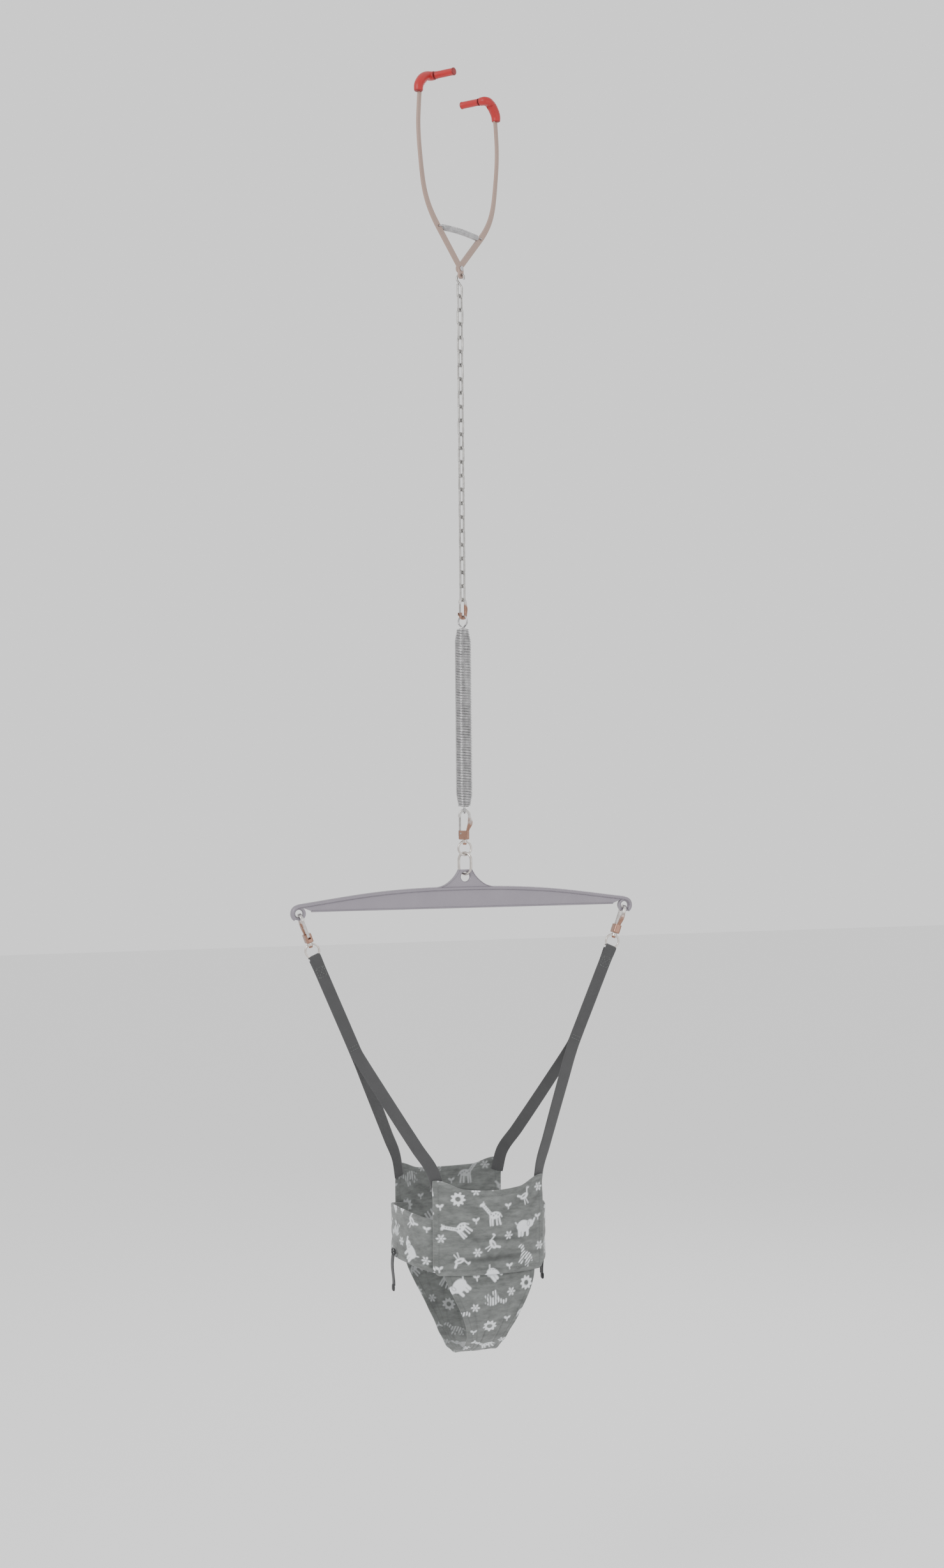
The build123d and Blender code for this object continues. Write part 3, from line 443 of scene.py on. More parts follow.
SLOT_MATERIALS = {
    "arm_enamel": ARM,
    "plain_steel": STEEL,
    "grip_rubber": RED,
    "zinc_wire": CHAIN,
    "bright_spring": SPRING,
    "snap_metal": SNAP,
    "gate_metal": GATE,
    "bar_enamel": BAR,
    "webbing": WEBBING,
    "print_cloth": CLOTH,
    "buckle_plastic": BUCKLE,
}
LIGHT_PIECES = ("centre_swivel_eye", "left_strap_ring", "right_strap_ring", "oblong_link")
for row in frame["record"]["subparts"]:
    node = frame["nodes"][row["node"]]
    node.data.materials.clear()
    plated = NICKEL if row["node"] in LIGHT_PIECES else SLOT_MATERIALS[row["material_slot"]]
    node.data.materials.append(plated)

# ------------------------------------------------------------------------ springs
CLAMP_ANGLE = math.atan2(-joint_axis("clamp_open")[0], joint_axis("clamp_open")[1])


def helix(start, end, radius_at, wire, pitch, bow=0.0, per_turn=20):
    """A close-wound wire from start to end; radius_at gives the coil's radius along its length."""
    start, end = np.array(start, float), np.array(end, float)
    length = np.linalg.norm(end - start)
    turns = length / pitch
    share = np.linspace(0, 1, int(turns * per_turn) + 1)
    axis = (end - start) / length
    side = unit(np.cross(axis, (0.0, 0.0, 1.0) if abs(axis[2]) < 0.9 else (0.0, 1.0, 0.0)))
    other = np.cross(axis, side)
    angle = share * turns * 2 * np.pi
    radius = radius_at(share)[:, None]
    centre = start + axis * (share * length)[:, None]
    centre[:, 2] += bow * np.sin(np.pi * share)
    path = centre + (side * np.cos(angle)[:, None] + other * np.sin(angle)[:, None]) * radius
    outward = path[0] - centre[0]
    return tube(path, wire, 8, normal=outward)


coil_low, coil_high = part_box("spring_coil")
WIRE = 0.9 * MM
COIL_RADIUS = (coil_high.x - coil_low.x) / 2 - WIRE
NECK_SHARE = 0.075
NECK_DROP = 2.25 * MM


def coil_radius(share):
    """Full radius along the middle, drawn in smoothly at both ends."""
    near_end = np.clip(np.minimum(share, 1 - share) / NECK_SHARE, 0, 1)
    return COIL_RADIUS - NECK_DROP * (1 - near_end * near_end * (3 - 2 * near_end))


main_coil = make_object(
    "spring_coil_wire",
    *helix(
        (0, 0, coil_high.z - WIRE),
        (0, 0, coil_low.z + WIRE),
        coil_radius,
        WIRE,
        1.87 * MM,
    ),
    SPRING,
)
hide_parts("spring_coil")
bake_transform(main_coil)

# the clamp's return spring lies level between the two arms, with a hook through each arm's hole
pull_low, pull_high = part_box("clamp_spring")
pull_centre = np.array([(pull_low[i] + pull_high[i]) / 2 for i in range(3)])
along_clamp = np.array((math.cos(CLAMP_ANGLE), math.sin(CLAMP_ANGLE), 0.0))
along_wall = np.array((-math.sin(CLAMP_ANGLE), math.cos(CLAMP_ANGLE), 0.0))
HOLE_REACH = 44.0 * MM
PULL_RADIUS = 3.1 * MM
PULL_WIRE = 0.55 * MM
PULL_HALF = HOLE_REACH - 7.2 * MM
ARM_MID = 1.4 * MM
HOOK_RADIUS = 3.6 * MM


def pull_radius(share):
    """The closed coil's radius, drawn in over its last turns."""
    near_end = np.clip(np.minimum(share, 1 - share) / 0.05, 0, 1)
    return PULL_RADIUS * (0.45 + 0.55 * near_end)


def pull_hook(side):
    """A wire hook from the coil's end round through an arm's hole."""
    lateral = along_wall * (-side * ARM_MID * -1)
    centre = pull_centre + along_clamp * side * (HOLE_REACH - HOOK_RADIUS) + lateral
    start = pull_centre + along_clamp * side * (PULL_HALF - 1.0 * MM)
    angles = np.linspace(math.radians(200), math.radians(-120), 30)
    loop = [
        centre + along_clamp * side * HOOK_RADIUS * math.cos(a) + along_wall * HOOK_RADIUS * math.sin(a)
        for a in angles
    ]
    return tube([start, (start + loop[0]) / 2, *loop], PULL_WIRE, 8)


pull_spring = make_object(
    "clamp_spring_wire",
    *join_meshes(
        [
            helix(
                pull_centre - along_clamp * PULL_HALF,
                pull_centre + along_clamp * PULL_HALF,
                pull_radius,
                PULL_WIRE,
                1.14 * MM,
                bow=1.6 * MM,
                per_turn=16,
            ),
            pull_hook(-1),
            pull_hook(1),
        ]
    ),
    SPRING,
)
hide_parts("clamp_spring")
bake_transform(pull_spring)

# ------------------------------------------------------------------- rubber grips
ARM_FACE = 2.6 * MM
BOOT_END = ARM_FACE + 7.5 * MM
FOOT_OUT = 59 * MM
FOOT_Z = 4.7 * MM
SLEEVE_START = BOOT_END + 1.0 * MM
SLEEVE_END = ARM_FACE + (32.0 + 2.2) * MM


def lathe(centre, axis, spots, radii, sides=36):
    """A turned shape: radii at distances along an axis, with a closing disc at both ends."""
    path = [centre + axis * spot for spot in spots]
    axis = unit(axis)
    first = unit(np.cross(axis, (0.0, 0.0, 1.0)))
    second = np.cross(axis, first)
    angles = np.linspace(0, 2 * np.pi, sides, endpoint=False)
    points = np.vstack(
        [p + r * (first * np.cos(a) + second * np.sin(a)) for p, r in zip(path, radii) for a in angles]
    )
    faces = grid_faces(len(path), sides, wrap_columns=True)
    faces.append(tuple(range(sides - 1, -1, -1)))
    last = (len(path) - 1) * sides
    faces.append(tuple(range(last, last + sides)))
    return points, faces


def build_grips(end, body, name):
    """The rounded elbow boot and the end sleeve of one foot."""
    out = -along_clamp * end
    wall = -along_wall * end

    def place(across, up, off):
        return out * across * MM + np.array((0.0, 0.0, up * MM)) + wall * off

    lane = 1.4 * MM
    spine = smooth_path(
        [
            place(79.2, -16.5, lane), place(78.6, -9.5, lane), place(74.5, -3.2, lane + 0.1 * MM),
            place(68.5, 1.8, lane + 0.3 * MM), place(62.6, 4.3, lane + 1.2 * MM),
            place(59.4, 4.7, lane + 3.4 * MM), place(59.0, 4.7, lane + 5.6 * MM), place(59.0, 4.7, BOOT_END),
        ],
        60,
    )
    swell = np.linspace(0, 1, 60)
    radius = 5.0 + 0.8 * np.sin(np.pi * np.clip(swell * 1.08, 0, 1)) ** 0.8
    radius = radius - 1.3 * np.clip((0.035 - swell) / 0.035, 0, 1) ** 2 - 1.1 * np.clip((swell - 0.965) / 0.035, 0, 1) ** 2
    boot, boot_faces = tube(spine, radius * MM, 28)
    near_foot = boot @ out < 67 * MM
    boot[near_foot, 2] = np.maximum(boot[near_foot, 2], 0.0)
    # painted shade at the boot's two ends, where it meets the arm and the sleeve
    boot_end_shade = np.zeros(len(boot))
    ring = np.repeat(np.arange(60), 28)
    boot_end_shade[ring < 2] = 0.8
    boot_end_shade[ring > 57] = 0.8
    length = SLEEVE_END - SLEEVE_START
    spots = np.array([0.0, 0.0, 0.25, 0.8, 1.5, 2.2, 8.0, 16.0]) * MM
    spots = np.concatenate([spots, [length - 2.2 * MM, length - 1.5 * MM, length - 0.8 * MM, length - 0.25 * MM, length, length]])
    radii = np.array([3.0, 3.9, 4.3, 4.45, 4.35, 4.12, 4.1, 4.12, 4.12, 4.35, 4.45, 4.3, 3.9, 3.0]) * MM
    sleeve, sleeve_faces = lathe(place(59.0, 4.7, SLEEVE_START), wall, spots, radii)
    # painted shade on the sleeve's rounded rims at both ends
    sleeve_rim_shade = np.repeat([0.7, 1, 1, 0.75, 0.25, 0, 0, 0, 0, 0.25, 0.75, 1, 1, 0.7], 36)
    points, faces = join_meshes([(boot, boot_faces), (sleeve, sleeve_faces)])
    grips = make_object(f"{name}_grip_moulding", points, faces, RED)
    attribute = grips.data.attributes.new("painted_shade", "FLOAT", "POINT")
    attribute.data.foreach_set("value", np.concatenate([boot_end_shade, sleeve_rim_shade]).astype(np.float32))
    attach(grips, body)
    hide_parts(f"{name}_rubber_grips")


build_grips(1, "front_arm", "front")
build_grips(-1, "back_arm", "back")

# ------------------------------------------------------------------------- straps
STRAP_WIDTH = 14 * MM
STRAP_THICKNESS = 1.5 * MM
RING_FOOT_DROP = 15.8 * MM
SPLIT_X = 133 * MM
SPLIT_Z = -1100 * MM
LOOP_RADIUS = 2.45 * MM
TUCK = 16 * MM


def ribbon(name, path, across, width, thickness, material, profile=14):
    """Webbing along a path: a flat oval section with soft selvedges and running coordinates."""
    path = np.asarray(path, float)
    across = unit(np.broadcast_to(np.asarray(across, float), path.shape))
    tangents = unit(np.gradient(path, axis=0))
    across = unit(across - tangents * np.sum(across * tangents, axis=1, keepdims=True))
    faces_out = np.cross(tangents, across)
    half = np.linspace(-1, 1, profile)
    edge = np.sqrt(np.clip(1 - np.abs(half) ** 7, 0.12, 1))
    top = [(x * width / 2, thickness / 2 * e) for x, e in zip(half, edge)]
    bottom = [(x * width / 2, -thickness / 2 * e) for x, e in zip(half[::-1], edge[::-1])]
    section = np.array(top + bottom)
    points = (
        path[:, None, :]
        + across[:, None, :] * section[None, :, 0:1]
        + faces_out[:, None, :] * section[None, :, 1:2]
    ).reshape(-1, 3)
    sides = len(section)
    faces = grid_faces(len(path), sides, wrap_columns=True)
    faces.append(tuple(range(sides - 1, -1, -1)))
    last = (len(path) - 1) * sides
    faces.append(tuple(range(last, last + sides)))
    made = make_object(name, points, faces, material)
    travel = np.concatenate([[0], np.cumsum(np.linalg.norm(np.diff(path, axis=0), axis=1))])
    add_uv(made, np.repeat(travel, sides), np.tile(section[:, 0], len(path)))
    return made


def add_uv(obj, u, v):
    """Running coordinates, in metres, for weaves."""
    layer = obj.data.uv_layers.new(name="along")
    corners = np.empty(len(obj.data.loops), int)
    obj.data.loops.foreach_get("vertex_index", corners)
    layer.data.foreach_set("uv", np.stack([u[corners], v[corners]], axis=1).ravel())


def stitch_row(path, outward, length=2.0 * MM, gap=1.0 * MM, radius=0.22 * MM):
    """A row of sewn stitches lying on a path, each a small tapered thread."""
    path = np.asarray(path, float)
    outward = np.broadcast_to(np.asarray(outward, float), path.shape)
    travel = np.concatenate([[0], np.cumsum(np.linalg.norm(np.diff(path, axis=0), axis=1))])
    parts = []
    at = gap
    while at + length < travel[-1]:
        spots = np.linspace(at, at + length, 5)
        centre = np.stack([np.interp(spots, travel, path[:, k]) for k in range(3)], axis=1)
        lift = np.stack([np.interp(spots, travel, outward[:, k]) for k in range(3)], axis=1)
        arch = np.array([-0.3, 0.5, 0.8, 0.5, -0.3])[:, None] * radius
        parts.append(tube(centre + unit(lift) * arch, radius * np.array([0.6, 1, 1, 1, 0.6]), 6))
        at += length + gap
    return parts


def strap_frame(side, name):
    """The points that a side's straps run through, and the direction across them."""
    up = joint_axis(f"{name}_snap_swivel")
    ring_foot = joint_point(f"{name}_snap_swivel") - up * RING_FOOT_DROP
    split = np.array((side * SPLIT_X, 0.0, SPLIT_Z))
    down = unit(split - ring_foot)
    across = np.cross((0.0, 1.0, 0.0), down)
    return ring_foot, split, down, across


def panel_inside(x):
    """How far out a strap's middle lies on the inside of a panel at x, and the panel's slope there."""
    low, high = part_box("back_panel")
    bulge = high.y - 68 * MM
    radius = (high.x**2 + bulge**2) / (2 * bulge)
    root = math.sqrt(radius**2 - x**2)
    return root + high.y - radius - 3.3 * MM, x / root


def build_straps(side, name):
    """The two layers of webbing of one side, with the loop round the ring and its sewing."""
    ring_foot, split, down, across = strap_frame(side, name)
    made = []
    for face, label in ((-1, "front"), (1, "back")):
        low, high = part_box(f"{name}_{label}_strap")
        end_x = side * (min(abs(low.x), abs(high.x)) + STRAP_WIDTH / 2 * 0.92)
        inside_y, slope = panel_inside(abs(end_x))
        corner = np.array((end_x, face * (inside_y - 0.4 * MM), low.z + 3.5 * MM))
        toward = unit(corner - split)
        tucked = np.array((end_x - side * 1.0 * MM, face * inside_y, corner[2] - TUCK))
        y = face * np.array((0, 1.0, 0))
        points = []
        if face < 0:
            for angle in np.radians(np.arange(20, 181, 20)):
                points.append(
                    ring_foot - down * LOOP_RADIUS * math.sin(angle) * 1.0
                    - y * LOOP_RADIUS * math.cos(angle)
                )
        lengths = (2 * MM, 14 * MM, 30 * MM, 70 * MM)
        spread = (2.35 * MM, 1.0 * MM, 0.85 * MM, 0.85 * MM)
        for distance, aside in zip(lengths, spread):
            points.append(ring_foot + down * distance + y * aside)
        points.append(split - down * 12 * MM + y * 0.86 * MM)
        points.append(split + y * 1.2 * MM)
        span = np.linalg.norm(corner - split)
        hang = np.array((0.0, -face * 0.9 * MM, -0.6 * MM))
        for share in (0.08, 0.25, 0.5, 0.75, 0.95):
            points.append(split + toward * span * share + hang * math.sin(math.pi * share))
        points.append(tucked)
        path = smooth_path(points, 220)
        low_part = np.clip((split[2] - path[:, 2]) / (split[2] - corner[2]), 0, 1)
        turn = (low_part * low_part * (3 - 2 * low_part))[:, None]
        flat_on = -unit(np.array((1.0, -side * face * slope, 0.0)))
        bearing = unit(across * (1 - turn) + flat_on * turn)
        strap = ribbon(f"{name}_{label}_strap_webbing", path, bearing, STRAP_WIDTH, STRAP_THICKNESS, WEBBING)
        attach(strap, "harness")
        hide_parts(f"{name}_{label}_strap")
        made.append(strap)
    sewing = []
    half = STRAP_WIDTH / 2 - 2.2 * MM
    box_top, box_bottom = ring_foot + down * 12 * MM, ring_foot + down * 24 * MM
    for face in (-1, 1):
        lift = np.array((0.0, face * 1.72 * MM, 0.0))
        corners = [box_top - across * half, box_top + across * half, box_bottom + across * half, box_bottom - across * half]
        loops = [(0, 1), (1, 2), (2, 3), (3, 0), (0, 2), (1, 3)]
        for a, b in loops:
            line = np.linspace(corners[a] + lift, corners[b] + lift, 8)
            sewing += stitch_row(line, (0.0, face, 0.0), radius=0.2 * MM)
        for drop in (-9 * MM, -5 * MM):
            middle = split + down * drop + np.array((0.0, face * 1.75 * MM, 0.0))
            line = np.linspace(middle - across * half * 1.1, middle + across * half * 1.1, 8)
            sewing += stitch_row(line, (0.0, face, 0.0), gap=0.6 * MM, radius=0.24 * MM)
    stitches = make_object(f"{name}_strap_stitching", *join_meshes(sewing), THREAD)
    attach(stitches, "harness")
    return made


for strap_side, strap_name in ((-1, "left"), (1, "right")):
    build_straps(strap_side, strap_name)


# ------------------------------------------------------------------------- prints
def oval(x, y, cx, cy, rx, ry, turn=0.0):
    """Inside (1) or outside (0) an oval, with a soft edge."""
    c, s = math.cos(turn), math.sin(turn)
    u = ((x - cx) * c + (y - cy) * s) / rx
    v = (-(x - cx) * s + (y - cy) * c) / ry
    return np.clip((1 - np.hypot(u, v)) * min(rx, ry) / PRINT_SOFT + 0.5, 0, 1)


def bar_shape(x, y, ax, ay, bx, by, r):
    """A round-ended bar from a to b, with a soft edge."""
    dx, dy = bx - ax, by - ay
    t = np.clip(((x - ax) * dx + (y - ay) * dy) / (dx * dx + dy * dy), 0, 1)
    return np.clip((r - np.hypot(x - ax - t * dx, y - ay - t * dy)) / PRINT_SOFT + 0.5, 0, 1)


PRINT_SOFT = 0.9


def elephant(x, y):
    """A round calf with a raised trunk."""
    shape = oval(x, y, 0, 0, 8.5, 6.2)
    for part in (
        oval(x, y, 8.2, 2.2, 4.4, 4.0),
        bar_shape(x, y, 11.5, 2, 14.2, 6.5, 1.1),
        bar_shape(x, y, -5.5, -4, -5.5, -9.5, 1.7),
        bar_shape(x, y, -1.5, -4, -1.8, -9.5, 1.6),
        bar_shape(x, y, 4.5, -4, 4.6, -9.5, 1.7),
        bar_shape(x, y, -8, 2, -10.5, 4.5, 0.6),
    ):
        shape = np.maximum(shape, part)
    return shape * (1 - 0.8 * oval(x, y, 6.0, 2.2, 1.9, 2.8) + 0.8 * oval(x, y, 6.0, 2.2, 1.2, 2.0))


def long_neck(x, y):
    """A spotted grazer with a long slanting neck."""
    shape = oval(x, y, -3, -1, 6.4, 3.9)
    for part in (
        bar_shape(x, y, 1.5, 1, 8.5, 11, 1.7),
        oval(x, y, 9.8, 12.2, 2.9, 1.6, -0.3),
        bar_shape(x, y, -7.5, -3, -8.5, -11.5, 0.9),
        bar_shape(x, y, -4.6, -3, -4.8, -11.5, 0.9),
        bar_shape(x, y, 0, -3, 0.2, -11.5, 0.9),
        bar_shape(x, y, 2, -2.5, 2.9, -11.2, 0.9),
        bar_shape(x, y, -9, 0, -11, -4, 0.5),
        bar_shape(x, y, 8.5, 13, 8.2, 15.2, 0.45),
    ):
        shape = np.maximum(shape, part)
    for k in range(5):
        shape = shape * (1 - 0.85 * oval(x, y, -6.5 + 2.6 * k, -1.0 + 1.6 * (k % 2), 0.9, 0.9))
        shape = shape * (1 - 0.85 * oval(x, y, 2.2 + 1.4 * k, 2.4 + 2.0 * k, 0.6, 0.6))
    return shape


def striped(x, y):
    """A stocky pony with broad stripes."""
    shape = oval(x, y, -1.5, 0, 7, 4.3)
    for part in (
        bar_shape(x, y, 3.5, 1.5, 7.5, 6.5, 2.2),
        oval(x, y, 9.5, 7.0, 3.1, 1.8, -0.5),
        bar_shape(x, y, -6.5, -2.5, -7, -9.5, 1.1),
        bar_shape(x, y, -3.8, -2.5, -3.6, -9.5, 1.1),
        bar_shape(x, y, 1.8, -2.5, 1.8, -9.5, 1.1),
        bar_shape(x, y, 4, -2, 4.6, -9.3, 1.1),
        bar_shape(x, y, -8, 1, -10.5, -3, 0.6),
    ):
        shape = np.maximum(shape, part)
    return shape * np.clip(0.5 + 1.6 * np.sin(1.9 * x + 0.9 * y), 0.12, 1)


def wader(x, y):
    """A long-legged bird."""
    shape = oval(x, y, 0, 0, 5.2, 3.0, 0.25)
    for part in (
        bar_shape(x, y, 4, 1, 4.8, 7.5, 0.7),
        oval(x, y, 6.0, 8.1, 1.9, 1.0, -0.2),
        bar_shape(x, y, 0.8, -2, 2.8, -8.5, 0.5),
        bar_shape(x, y, -0.8, -2, -1.0, -8.8, 0.5),
        bar_shape(x, y, -4, 0.5, -8, 2.8, 1.1),
    ):
        shape = np.maximum(shape, part)
    return shape * (1 - 0.8 * oval(x, y, -0.5, 0.2, 2.6, 1.1, 0.25))


def sun_face(x, y):
    """A ringed blossom with a wavy rim."""
    radius, angle = np.hypot(x, y), np.arctan2(y, x)
    rim = 6.6 + 1.1 * np.cos(9 * angle)
    return np.clip((rim - radius) / PRINT_SOFT + 0.5, 0, 1) * np.clip((radius - 2.9) / PRINT_SOFT + 0.5, 0, 1)


def flower(x, y):
    """Six loose petals."""
    shape = oval(x, y, 0, 0, 1.3, 1.3)
    for k in range(6):
        a = k * math.pi / 3
        shape = np.maximum(shape, oval(x, y, 3.3 * math.cos(a), 3.3 * math.sin(a), 1.7, 1.0, a))
    return shape


def sprout(x, y):
    """Two small leaves on a stem."""
    shape = np.maximum(oval(x, y, -1.9, 1.2, 2.3, 1.3, -0.6), oval(x, y, 1.9, 1.4, 2.3, 1.3, 0.7))
    return np.maximum(shape, bar_shape(x, y, 0, 0, 0.3, -3.2, 0.6))


LARGE = (elephant, long_neck, striped, wader, sun_face)
SMALL = (sprout, flower)
CELL_X, CELL_Y = 39.0, 34.0
MOTIF_SCALE = 1.05


def print_mask(u, v, seed):
    """The print at flat cloth coordinates u and v in millimetres, on a loose half-drop repeat."""
    rng = np.random.default_rng(seed)
    mask = np.zeros_like(u)
    columns = range(int(np.floor(u.min() / CELL_X)) - 1, int(np.ceil(u.max() / CELL_X)) + 2)
    rows = range(int(np.floor(v.min() / CELL_Y)) - 1, int(np.ceil(v.max() / CELL_Y)) + 2)
    for i in columns:
        for j in rows:
            jitter = rng.uniform(-1.6, 1.6, 2)
            turn = rng.uniform(-0.9, 0.9) + (math.pi if rng.random() < 0.25 else 0)
            flip = -1 if rng.random() < 0.5 else 1
            cx = i * CELL_X + jitter[0]
            cy = j * CELL_Y + (CELL_Y / 2 if i % 2 else 0) + jitter[1]
            c, s = math.cos(turn), math.sin(turn)
            x = ((u - cx) * c + (v - cy) * s) * flip / MOTIF_SCALE
            y = (-(u - cx) * s + (v - cy) * c) / MOTIF_SCALE
            near = np.hypot(x, y) < 20
            if near.any():
                motif = LARGE[(2 * i + 3 * j) % len(LARGE)]
                mask[near] = np.maximum(mask[near], motif(x[near], y[near]))
            sx, sy = u - cx - CELL_X / 2, v - cy - CELL_Y * 0.25
            near = np.hypot(sx, sy) < 7
            if near.any():
                motif = SMALL[(i + j) % 2]
                mask[near] = np.maximum(mask[near], motif(sx[near], sy[near]))
    return mask


# ------------------------------------------------------------------------- saddle
CLOTH_THICKNESS = 1.7 * MM
HEM = 6.0 * MM


def ripple(a, b, seed):
    """Slow unevenness of hand-sewn cloth, between -1 and 1, from a few crossing waves."""
    rng = np.random.default_rng(seed)
    total = np.zeros_like(a)
    for k in range(7):
        fx, fy = rng.normal(0, 1, 2) * (20 + 14 * k)
        total += np.sin(a * fx + b * fy + rng.uniform(0, 6.28)) / (1.3 + 0.6 * k)
    return total / 2.6


def cloth_piece(name, surface, rows, columns, replaced, seed, shift=(0.0, 0.0)):
    """A hemmed two-sided sheet. surface(s, t) gives points, flat coordinates in metres, the strength of the painted
    shade in its folds and the distance to the rim.
    """
    t, s = np.meshgrid(np.linspace(0, 1, rows), np.linspace(0, 1, columns), indexing="ij")
    middle, u, v, painted_shade, rim = surface(s, t)
    du = np.gradient(middle, axis=1)
    dv = np.gradient(middle, axis=0)
    normal = unit(np.cross(du, dv))
    edge = np.clip(rim / (0.9 * MM), 0, 1)
    hem_line = np.exp(-((rim - HEM) / (0.55 * MM)) ** 2)
    in_hem = 1 / (1 + np.exp((rim - HEM) / (0.5 * MM)))
    half = CLOTH_THICKNESS / 2 * np.sqrt(np.clip(1 - (1 - edge) ** 2, 0.05, 1))
    half = half * (1 + 0.22 * in_hem - 0.32 * hem_line)
    outer = middle + normal * half[..., None]
    inner = middle - normal * half[..., None]
    count = rows * columns
    points = np.vstack([outer.reshape(-1, 3), inner.reshape(-1, 3)])
    faces = grid_faces(rows, columns)
    faces += [tuple(i + count for i in face[::-1]) for face in grid_faces(rows, columns)]
    border = (
        [j for j in range(columns)]
        + [i * columns + columns - 1 for i in range(1, rows)]
        + [(rows - 1) * columns + j for j in range(columns - 2, -1, -1)]
        + [i * columns for i in range(rows - 2, 0, -1)]
    )
    for a, b in zip(border, border[1:] + border[:1]):
        faces.append((b, a, a + count, b + count))
    made = make_object(name, points, faces, CLOTH)
    both_u, both_v = np.tile(u.ravel(), 2), np.tile(v.ravel(), 2)
    add_uv(made, both_u, both_v)
    mask = print_mask((u.ravel() + shift[0]) / MM, (v.ravel() + shift[1]) / MM, seed)
    attribute = made.data.attributes.new("print", "FLOAT", "POINT")
    attribute.data.foreach_set("value", np.concatenate([mask, mask * 0.35]).astype(np.float32))
    # painted shade: the fold shade plus a dark line along the hem, stored on both faces as a point attribute that
    # darkens the cloth
    attribute = made.data.attributes.new("painted_shade", "FLOAT", "POINT")
    shade = np.clip(painted_shade + 0.35 * hem_line, 0, 1).ravel()
    attribute.data.foreach_set("value", np.tile(shade, 2).astype(np.float32))
    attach(made, "harness")
    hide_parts(*replaced)
    return made, outer, normal


panel_low, panel_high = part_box("front_panel")
HALF_WIDTH = panel_high.x
TOP_Z = panel_high.z
SEAM_Z = panel_low.z
EDGE_Y = 68 * MM
BULGE_Y = -panel_low.y - EDGE_Y


def plan_arc(x, face, inset):
    """Y of the front or back panel at x, a distance inside its outer face."""
    radius = (HALF_WIDTH**2 + BULGE_Y**2) / (2 * BULGE_Y)
    centre = EDGE_Y + BULGE_Y - radius
    return face * (centre + np.sqrt(radius**2 - x**2) - inset)


def fold(value, centre, width):
    """A soft ridge across a value."""
    return np.exp(-(((value - centre) / width) ** 2))


TAB_RISE = 5.0 * MM


def bib(face, sag, seed):
    """A body panel between the straps: sagging top edge, tension folds and a fold above the seam."""

    def surface(s, t):
        x = (s * 2 - 1) * HALF_WIDTH * -face
        share = x / HALF_WIDTH
        rise = np.clip((np.abs(share) - 0.5) / 0.36, 0, 1)
        tab = rise * rise * (3 - 2 * rise) * np.sqrt(np.clip(1 - np.clip((np.abs(share) - 0.86) / 0.17, 0, 1) ** 2, 0, 1))
        top = TOP_Z - sag * (1 - share**2) + TAB_RISE * tab
        corner = 8 * MM * np.clip((np.abs(share) - 0.9) / 0.1, 0, 1) ** 2
        bottom = SEAM_Z + corner
        z = bottom + (top - bottom) * t
        drop = (TOP_Z - z) / (TOP_Z - SEAM_Z)
        pull = fold(drop - 0.42 * (1 - np.abs(share)) ** 1.3, 0.05, 0.05)
        pull2 = fold(drop - 0.75 * (1 - np.abs(share)) ** 1.1, 0.12, 0.045)
        low_fold = fold(drop + 0.03 * share, 0.83, 0.035) * np.clip(1.2 - np.abs(share), 0, 1)
        mid_fold = fold(drop - 0.03 * share, 0.62, 0.03) * (0.6 + 0.4 * np.sin(3 * share + 1))
        depth = 1.3 * pull + 0.9 * pull2 + 1.7 * low_fold + 0.9 * mid_fold
        wave = ripple(x, z, seed)
        y = plan_arc(x, face, 1.2 * MM) - face * (depth + 0.5 * wave) * MM
        rim = np.minimum(
            np.minimum(HALF_WIDTH - np.abs(x), z - bottom), top - z
        )
        # painted shade for the tension folds and the fold above the seam, kept in a point attribute that darkens the
        # cloth
        painted_shade = np.clip(low_fold + 0.62 * mid_fold + 0.35 * pull + 0.3 * pull2, 0, 1)
        middle = np.stack([x * (1 + 0 * z), y, z], axis=-1)
        return middle, x + 0 * z, z - SEAM_Z, painted_shade, rim

    return surface


front_bib, front_outer, front_normal = cloth_piece(
    "front_panel_cloth", bib(-1, 9 * MM, 3), 120, 150, ["front_panel"],
    seed=11,
)
back_bib, back_outer, back_normal = cloth_piece(
    "back_panel_cloth", bib(1, 6 * MM, 5), 120, 150, ["back_panel"],
    seed=12, shift=(0.4, 0.2),
)

wing_low, wing_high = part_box("left_wing")
WING_OUT = -wing_low.x
WING_PLAN = (
    (WING_OUT - 1.6 * MM, 0.0),
    (WING_OUT - 2.1 * MM, 10 * MM),
    (WING_OUT - 3.6 * MM, 20 * MM),
    (WING_OUT - 9.0 * MM, 40 * MM),
    (WING_OUT - 16.6 * MM, 54 * MM),
    (WING_OUT - 23.0 * MM, 62.0 * MM),
    (WING_OUT - 30.0 * MM, 66.8 * MM),
    (WING_OUT - 38.0 * MM, 70.2 * MM),
)
WING_CURVE = smooth_path([(x, y, 0.0) for x, y in WING_PLAN], 200)


